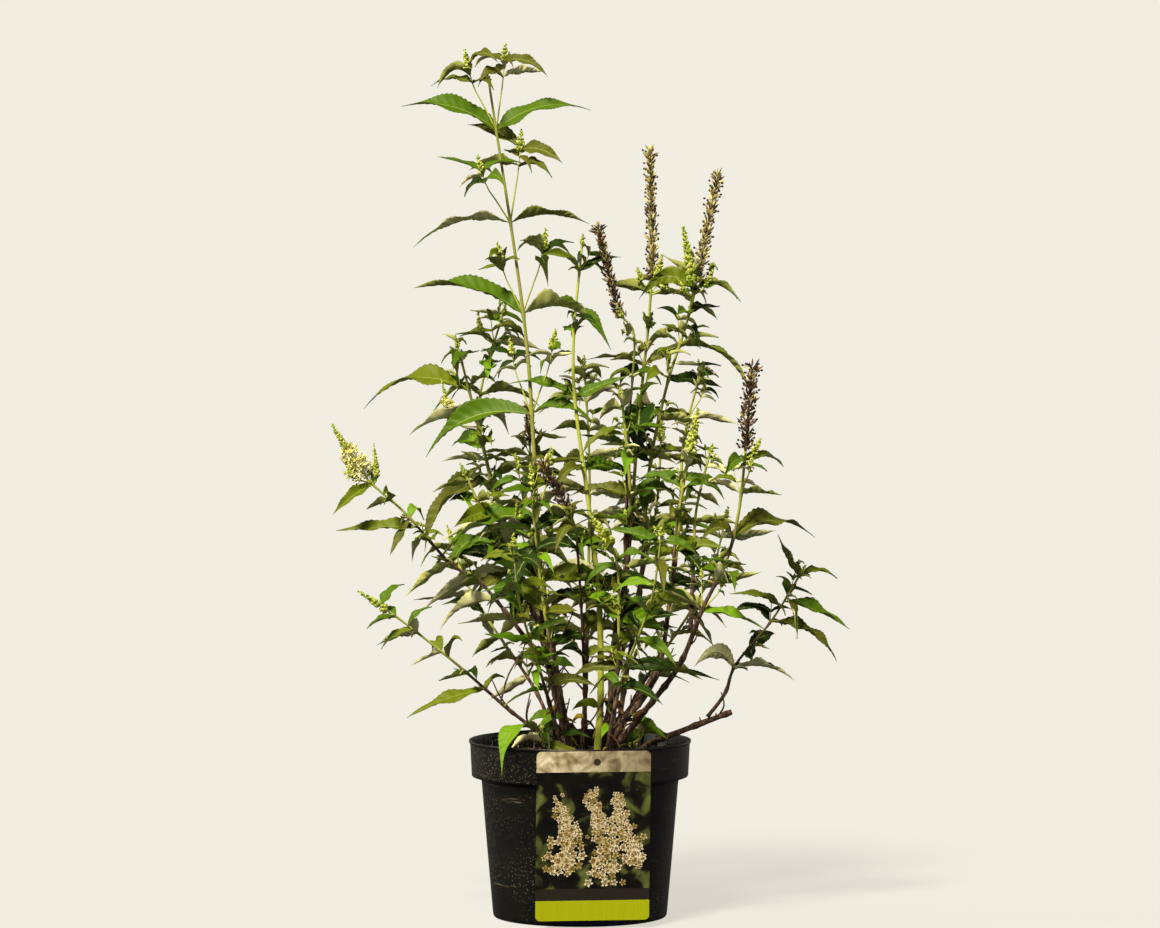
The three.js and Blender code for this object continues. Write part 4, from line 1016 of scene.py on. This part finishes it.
def grow_tuft(cane, spray, frame_there, out, length, draw):
    point, tangent = frame_there[:2]
    habit = leaf_habit(length, draw)
    habit["rise"] = draw(*TUFT_RISE)
    way = unit(out * math.cos(habit["rise"]) + tangent * math.sin(habit["rise"]))
    bend = point + way * TUFT_BEND * length
    tip = bend + unit(way + 0.6 * UP) * TUFT_TIP * length
    pairs = [(place, luck.uniform(0, math.pi), [None, None]) for place in TUFT_NODES]
    grow_twig(cane, spray, point, bend, tip, TUFT_RADIUS * TWIG_RADIUS, pairs, TUFT_LEAF * length, TUFT_BUD)


spray_count = 0
leafy_canes = [cane for cane in canes.values() if "spike" in cane]
for index, cane in enumerate(leafy_canes):
    draw = seeded(FIRST_SEED + SEED_STEP * index)
    places = stem_places(cane)
    azimuth = math.radians(cane["first"])
    runs = len(places) - 1
    for i in range(runs):
        frame_there = on_run(cane, places, i + 0.5)
        point, tangent, across, up, radius = frame_there
        size = cane["leaf"] * (1 - TOP_LEAF * i / runs)
        for side in (0, 1):
            spray_count += 1
            out = radial(across, up, azimuth + math.pi * side + draw(-AIM_SPREAD, AIM_SPREAD))
            habit = leaf_habit(size, draw)
            pick = draw()
            length = cane["shoot"] * draw(*SHOOT_SPREAD)
            chosen = SET_LEAVES.get(cane["name"], {}).get((i, side))
            if chosen:
                habit = dict(zip(("length", "rise", "droop", "roll", "twist", "tone", "breadth"), chosen))
            elif point[2] < SHADED and not cane["name"].endswith("shoot"):
                habit["length"] *= SHADED_SIZE
            lay_leaf(cane, spray_count, point, tangent, radius, out, **habit)
            if pick < cane["shoots"]:
                grow = grow_shoot if length > LONG_SHOOT else grow_tuft
                grow(cane, spray_count, frame_there, out, length, draw)
            else:
                for turn in (-YOUNG_TURN, YOUNG_TURN):
                    young = own_habit(YOUNG_SIZE * size)
                    young["rise"] = luck.uniform(*YOUNG_RISE)
                    out = radial(across, up, azimuth + math.pi * side + turn)
                    lay_leaf(cane, spray_count, point, tangent, radius, out, **young)
        azimuth += math.radians(cane["turn"]) + draw(-TURN_SPREAD, TURN_SPREAD)

# Leaves between the pairs: cane, share of its length, direction, length, rise, droop, roll, tone and breadth.
ODD_LEAVES = [
    ("front_left", 0.11, 30, 38, 0.3, 0.5, -0.7, 1), ("low_left", 0.07, 175, 74, 0.35, 0.3, 0.7, 4),
    ("low_left", 0.11, 150, 66, 0.1, 0.5, 0.4, 2), ("left", 0.13, 170, 46, 0.5, 0.9, 0.5, 0),
    ("inner_left", 0.15, 200, 40, 0.2, 1.2, 0.9, 3), ("front_right", 0.1, 20, 48, 0.4, 0.8, -0.7, 1),
    ("right_arm", 0.15, 40, 52, 0.2, 0.5, -0.6, 0), ("inner_right", 0.14, 120, 36, 0.3, 1.3, 0.3, 3),
    ("centre", 0.1, 150, 44, 0.5, 1.1, 0.9, 2), ("short", 0.16, 100, 38, 0.2, 1.4, -0.4, 1),
    ("far_left", 0.58, 185, 78, 0.8, 0.3, 0.6, 2), ("far_left", 0.45, 350, 38, -0.2, 1.2, -0.6, 4),
    ("low_right", 0.77, 350, 74, 0.35, 0.85, -0.5, 0), ("low_right", 0.74, 170, 54, 0.1, 0.3, 0.5, 2),
    ("inner_right", 0.55, 20, 58, 0.9, -0.2, -0.8, 1, 1.4), ("left", 0.6, 110, 58, -0.6, 1.45, 0.2, 1, 1.4),
    ("leader", 0.42, 120, 44, -0.3, 1.45, 0.3, 1, 1.2), ("short", 0.44, 60, 52, -0.2, 1.3, -0.4, 1, 1.3),
    ("right_arm", 0.62, 30, 50, -0.1, 1.35, -0.5, 1, 1.3), ("tall_spike", 0.62, 160, 46, 0.6, 1.3, 0.7, 1, 1.3),
    ("left_inner", 0.5, 80, 46, -0.2, 1.4, 0.2, 1, 1.3), ("right_spike", 0.45, 100, 50, 0.1, 1.45, 0.1, 0, 1.3),
    ("centre", 0.3, 25, 80, -0.3, 0.8, -1.25, 3, 1.2), ("inner_left", 0.73, 160, 60, -0.7, 1.45, 0.5, 1, 1.4),
    ("low_left", 0.9, 350, 36, 0.2, -0.3, -0.6, 0, 1.3), ("low_left", 0.77, 355, 32, 0.3, -0.2, -0.7, 0),
    ("low_left", 0.58, 10, 48, 0.6, 0.0, -0.6, 2), ("low_left", 0.75, 180, 36, 0.9, 1.0, 0.6, 2),
]
for name, share, azimuth, length, rise, droop, roll, tone, *breadth in ODD_LEAVES:
    cane = canes[name]
    point, tangent, across, up, radius = cane["axis"].frame_at(share * cane["axis"].length)
    lay_leaf(cane, 0, point, tangent, radius, radial(across, up, math.radians(azimuth)), length, rise, droop, roll,
             0.3, tone, *breadth)

# The crown's foot holds the stubs of twigs that have died back, and dead leaves caught between the canes.
STUBS = 64
STUB_REACH = (5, 18)
STUB_LONGER = [1, 1, 2.4, 3.6]
STUB_RIPE = 0.85
DEAD_LEAVES = 34
DEAD_LENGTH = (14, 36)
DEAD_RISE = (-0.8, 0.5)
DEAD_DROOP = (0.2, 1.5)
rooted = [cane for name, cane in canes.items() if name not in FORKS]
for i in range(STUBS + DEAD_LEAVES):
    cane = rooted[luck.integers(len(rooted))]
    s = luck.uniform(0.12, 0.95 if i < STUBS else 0.55) * cane["bare_length"]
    point, tangent, across, up, radius = cane["axis"].frame_at(s)
    out = radial(across, up, luck.uniform(0, 2 * math.pi))
    if i < STUBS:
        out[2] = abs(out[2])
        reach = luck.uniform(*STUB_REACH) * luck.choice(STUB_LONGER)
        knee = point + unit(out + luck.uniform(0.2, 1.4) * tangent) * 0.5 * reach
        end = knee + unit(out + luck.uniform(0.2, 2) * UP) * 0.5 * reach
        add_twig(cane, [point, knee, end], (1.1, 0.6), 7, STUB_RIPE)
    else:
        lay_leaf(cane, 0, point, tangent, radius, out, luck.uniform(*DEAD_LENGTH), luck.uniform(*DEAD_RISE),
                 luck.uniform(*DEAD_DROOP), luck.uniform(-1, 1), luck.normal(0, 1.3), luck.choice([5, 6, 6]))

# Leaf skins: cuticle with a soft gloss above, matt felt below. The tone changes from spray to spray: most are
# deep or middle green, some olive, a few bright young ones and a few very dark.
UPPER = {"#435f0a": 0.27, "#1e3204": 0.29, "#57640f": 0.2, "#5c8010": 0.1, "#4e5313": 0.14, "#a8951f": 0, "#4c351c": 0}
DEAD = 5  # the first of the tones that only dead leaves have
LOWER = {"#a8ad64": 0.4, "#838a44": 0.32, "#cccb98": 0.28}
leaf_skins = (skins("leaf_cuticle", UPPER, 0.5, Specular_IOR_Level=0.12)
              + skins("leaf_felt", LOWER, 0.9, Specular_IOR_Level=0.2) + skins("leaf_midrib", ["#6d7a33"], 0.6))
spray_upper = luck.choice(len(UPPER), spray_count + 1, p=list(UPPER.values()))
spray_lower = luck.choice(len(LOWER), spray_count + 1, p=list(LOWER.values())) + len(UPPER)


def half_width(t):
    """Outline of the blade: a narrow stalk, widest at a third of its length, and a long drawn-out tip."""
    blade = np.sin(math.pi * np.clip((t - 0.03) / 0.97, 0, 1) ** 0.62) ** 1.2
    return np.maximum(blade, 0)


def lay_out(lot, rows, strips):
    """Bends copies of a flat leaf along their midribs."""
    spots, faces, slots = leaf_shape(rows, strips)
    *shapes, sprays, tones, breadth = zip(*lot)
    foot, crest, tip, flat, roll, length, twist = (np.array(part)[:, None] for part in shapes)
    n = len(lot)
    u, t, layer = spots[None, :, 0], spots[None, :, 1], spots[None, :, 2]
    puff = np.where(np.rint(t * rows) % 2 == 0, -1, 1)
    side_veins = np.sin(math.pi / 2 * np.rint(t * rows))
    t = t + VEIN_SLANT * np.abs(u) * np.sin(math.pi * t)
    t3 = t[..., None]
    middle = (1 - t3) ** 2 * foot + 2 * t3 * (1 - t3) * crest + t3 ** 2 * tip
    middle = middle - UP * (luck.uniform(*SAG, (n, 1)) * length * t ** 3)[..., None]
    along = unit((1 - t3) * (crest - foot) + t3 * (tip - crest))
    lift = unit(np.cross(flat, along))
    turned = (roll + twist * t ** 1.5)[..., None]
    across = flat * np.cos(turned) + lift * np.sin(turned)
    up = np.cross(across, along)
    tooth = 1 + TOOTH * puff * (np.abs(u) > 0.99)
    stalk = STALK[0] + STALK[1] * length
    broad = length * LEAF_WIDTH / 2 * np.array(breadth)[:, None]
    half = np.maximum(half_width(t) * broad * tooth, stalk * (1 - t) ** 4 + 0.15)
    fold = luck.uniform(*FOLD_SPREAD, (n, 1)) * FOLD
    phase = luck.uniform(0, 2 * math.pi, (n, 1))
    ripples = luck.uniform(*RIPPLES, (n, 1))
    wave = WAVE * np.sin(2 * math.pi * ripples * t + phase + 1.3 * np.sign(u)) * u ** 2
    quilt = QUILTING * side_veins * np.sin(math.pi * np.abs(u)) * (strips > 2) * luck.uniform(*QUILT_SPREAD, (n, 1))
    height = half * (fold * np.abs(u) ** 1.2 + wave) + quilt * np.minimum(1, half / 6)
    rib = 0.5 + 0.8 * (1 - t)
    thick = np.where(np.abs(u) <= MIDRIB, BLADE + rib, BLADE * np.where(np.abs(u) > 0.99, 0.5, 1))
    sideways = luck.normal(0, SWAY, (n, 1)) * length * t ** 2
    placed = middle + across * (u * half + sideways)[..., None] + up * (height + layer * thick)[..., None]
    uppers = np.array([spray_upper[spray] if tone is None else tone for spray, tone in zip(sprays, tones)])
    lowers = np.array([spray_lower[spray] if tone is None or tone < DEAD else tone
                       for spray, tone in zip(sprays, tones)])
    picks = np.where(slots[None] == 0, uppers[:, None], np.where(slots[None] == 1, lowers[:, None],
                                                                 len(leaf_skins) - 1))
    return placed, faces, picks


for side, lot in leaves.items():
    batches = []
    for i, (least, rows, strips) in enumerate(LEAF_SIZES):
        most = LEAF_SIZES[i - 1][0] if i else 1e9
        sized = [leaf for leaf in lot if least <= leaf[5] < most]
        if sized:
            batches.append(lay_out(sized, rows, strips))
    linked(f"leaves_{side}", *zip(*batches), leaf_skins, "foliage",
           [f"foliage_{cane['name']}" for cane in leafy_canes if side_of(cane) == side])


# Flower spikes: a stalk with whorls of little cymes. Old spikes carry dry brown seed capsules, the one at the far
# left is just opening in cream, and the young ones are tight cones of yellow-green buds.
CYME_STEP = {"old": 3.6, "bud": 3.9, "cream": 3.4}  # between whorls
PER_WHORL = {"old": 6, "bud": 8, "cream": 12}
WHORL_TURN = 0.8
GRAIN_TURN = 0.618  # of a full turn, so that no two grains of a whorl stand one over the other
STRAY = 3  # long-stalked capsules in each whorl of an old spike
OLD_END = 0.94  # share of its length at which the seed spike's stalk has broken off
TUFTED = 0.93  # from here up a seed spike ends in a loose tuft
PALE = {"tall_spike": 0.75, "right_spike": 0.85, "thin_spike": 0.3, "rear_left": 0.4}  # how far a spike has bleached


def grain_shape(profile, sides):
    spots, faces, slots = arrays_of(spun(profile, sides))
    return spots, faces, np.array([int(spots[face, 2].mean() > 0.7) for face in faces])


GRAINS = {
    "old": grain_shape([(0, 0), (0.26, 0.08), (0.5, 0.38), (0.36, 0.7), (0, 1.0)], 5),
    "stray": grain_shape([(0, 0), (0.16, 0.01), (0.14, 0.74), (0.6, 0.8), (0.55, 0.95), (0, 1.0)], 5),
    "bud": grain_shape([(0, 0), (0.5, 0.3), (0.46, 0.8), (0, 1.0)], 5),
}
floret_body = spun([(0, 0), (0.18, 0.02), (0.22, 0.6), (0.4, 0.86), (0.2, 0.9), (0, 0.86)], 5)
for i in range(4):
    petal = bmesh.ops.create_cube(floret_body, size=1)["verts"]
    turn = Matrix.Rotation(i * math.pi / 2, 4, "Z")
    lay = Matrix.Translation((0.75, 0, 0.97)) @ Matrix.Rotation(-0.35, 4, "Y") @ Matrix.Diagonal((0.95, 0.62, 0.05, 1))
    bmesh.ops.transform(floret_body, matrix=turn @ lay, verts=petal)
GRAINS["cream"] = arrays_of(floret_body)
SPIKE_TONES = {  # the first half weathered and dark, the second half bleached or young
    "old": ["#3a2412", "#553a1d", "#2a190d", "#7a5b2c", "#8d8242", "#b4a663", "#6c5f2c", "#d8cd92"],
    "stray": ["#4a3320", "#35230f", "#59402a", "#2d1c10", "#93854c", "#b7aa6c", "#786a38", "#a3905a"],
    "bud": ["#74832a", "#8d9a34", "#7f8d2e", "#98a43c", "#909e36", "#aab548", "#a0ac3f", "#c0c266"],
    "cream": ["#cfcb7a", "#b8bc5c", "#e2dda4", "#c3c468", "#ebe6c0", "#dad48c", "#f3efd6", "#d2ce7e"],
}
CAPSULE_HEAD = "#24150c"
SPIKE_PIECES = {"old": ("seed_spikes", "dry_capsule"), "stray": ("seed_stalks", "dry_capsule"),
                "bud": ("bud_spikes", "flower_bud"), "cream": ("cream_florets", "petal")}
grains = {kind: [] for kind in GRAINS}


def grow_spike(kind, axis, place_of, length, radius, pale=0.5):
    """Sets capsules, buds or florets round a stalk. place_of(share) gives how far along the axis a share of it is."""
    whorls = max(4, round(length / CYME_STEP[kind]))
    for whorl in range(whorls):
        share = (whorl + 0.5) / whorls
        point, tangent, across, up, _ = axis.frame_at(place_of(share * (OLD_END if kind == "old" else 1)))
        of_kind = "bud" if kind == "cream" and share > 0.5 else kind
        taper = {"old": 1 - (0.5 + 0.3 * pale) * share, "bud": 1.08 - 0.85 * share ** 1.3,
                 "cream": 1.1 - 0.9 * share if of_kind == "cream" else 0.62 - 0.5 * share}[kind]
        tuft = kind == "old" and share > TUFTED
        for j in range(PER_WHORL[of_kind] + ((STRAY - (pale > 0.5)) if kind == "old" else 0)):
            azimuth = 2 * math.pi * j * GRAIN_TURN + whorl * WHORL_TURN + luck.uniform(-0.3, 0.3)
            out = radial(across, up, azimuth)
            start = point + tangent * luck.uniform(-0.5, 0.5) * CYME_STEP[kind]
            grain = of_kind
            if kind == "old" and j >= PER_WHORL[kind]:
                grain = "stray"
                reach, rise, wide = radius * max(taper, 0.8) * luck.uniform(0.9, 1.4), luck.uniform(0.1, 0.7), 1.9
            elif grain == "old":
                start = start + out * radius * taper * luck.uniform(0, 0.7) * (1 - 0.35 * pale)
                reach, rise, wide = luck.uniform(5.5, 9), luck.uniform(0.6, 1.1) + 0.15 * pale, luck.uniform(1.7, 2.8)
                if tuft:
                    reach, rise = luck.uniform(7, 12), luck.uniform(0.25, 1.2)
            elif grain == "bud":
                reach = 1.2 * radius * taper * luck.uniform(0.8, 1.15)
                rise, wide = luck.uniform(0.4, 0.8), max(1.3, 0.55 * radius * taper + 0.8)
            else:
                reach, rise, wide = radius * taper * luck.uniform(0.6, 1.25), luck.uniform(0.0, 1.0), 2.4
            way = unit(out * math.cos(rise) + tangent * math.sin(rise))
            bleached = luck.uniform() < (1 if tuft and pale > 0.5 else pale)
            grains[grain].append((start, way, reach, wide, luck.integers(4) + 4 * bleached))


for cane in leafy_canes:
    kind, length, radius = cane["spike"]
    foot = spike_foot(cane)
    pale = PALE.get(cane["name"], 0)
    grow_spike(kind, cane["axis"], lambda share: foot + share * length, length, radius,
               (pale or 0.1) if kind == "old" else 0.5)
    stalk = cane["axis"].frames(np.linspace(foot, foot + (0.9 if kind == "old" else 0.98) * length, 8))
    stalk = (*stalk[:4], np.linspace(stalk[4][0], 0.4, 8))
    add_stem(cane, bend_tube(stalk, TWIG_SIDES), 0.9 - 0.7 * pale if kind == "old" else 0)

# Side spikes: cane, how far below the foot of its own spike, the stalk's reach, the spike's reach, radius, kind.
SIDE_SPIKES = [
    ("right_spike", 2, (-2, -3, 4), (-11, -4, 56), 7, "bud"), ("right_spike", 12, (12, -4, 8), (9, 0, 21), 3.6, "bud"),
    ("right_spike", 14, (-9, -6, 6), (-6, -2, 12), 3.4, "bud"), ("tall_spike", 3, (5, -5, 4), (6, 0, 24), 5, "bud"),
    ("tall_spike", 16, (11, -8, 6), (7, -2, 13), 4.5, "bud"), ("tall_spike", 10, (-10, -2, 8), (-4, 0, 14), 4, "bud"),
    ("far_left", 4, (-12, -4, 3), (-15, 0, 20), 4.2, "bud"), ("far_left", 8, (4, -3, 8), (-3, 0, 34), 3.4, "bud"),
    ("left_tall", 84, (-24, -8, 6), (-14, -4, 44), 7, "cream"), ("far_right", 8, (8, -5, 5), (8, 0, 16), 4, "bud"),
    ("thin_spike", 6, (-6, -4, 5), (-6, 0, 14), 3.4, "bud"), ("left_inner", 30, (-12, -8, 10), (-4, 0, 24), 4, "bud"),
]
stalks = []
for name, below, stalk, reach, radius, kind in SIDE_SPIKES:
    cane = canes[name]
    point = cane["axis"].frame_at(spike_foot(cane) - below)[0]
    line = add_twig(cane, [point, point + stalk, point + stalk + reach], (0.9, 0.5), 9)
    stalks.append((line, np.linalg.norm(stalk) / line.length, kind, radius))
stalks += [(line, bud, "bud", 1.1 + 0.18 * ((1 - bud) * line.length)) for line, bud in twigs]
for line, bud, kind, radius in stalks:
    grow_spike(kind, line, lambda share: (bud + (1 - bud) * share) * line.length, (1 - bud) * line.length, radius)

for kind, lot in grains.items():
    spots, faces, slots = GRAINS[kind]
    start, way, reach, wide, tones = (np.array([grain[i] for grain in lot]) for i in range(5))
    sideways = unit(np.cross(way, UP + 0.01 * REAR))
    third = np.cross(way, sideways)
    placed = (start[:, None] + way[:, None] * (spots[None, :, 2:] * reach[:, None, None])
              + sideways[:, None] * (spots[None, :, :1] * wide[:, None, None])
              + third[:, None] * (spots[None, :, 1:2] * wide[:, None, None]))
    name, skin = SPIKE_PIECES[kind]
    picks = np.where((slots == 1) & (kind == "stray"), len(SPIKE_TONES[kind]), tones[:, None])
    colours = SPIKE_TONES[kind] + [CAPSULE_HEAD] * (kind == "stray")
    linked(name, [placed], [faces], [picks], skins(skin, colours, 0.75), "foliage", smooth=False)

for side, lots in stem_lots.items():
    linked(f"stems_{side}", *zip(*lots), [bark], "foliage", ripeness=np.concatenate(stem_ripeness[side]))
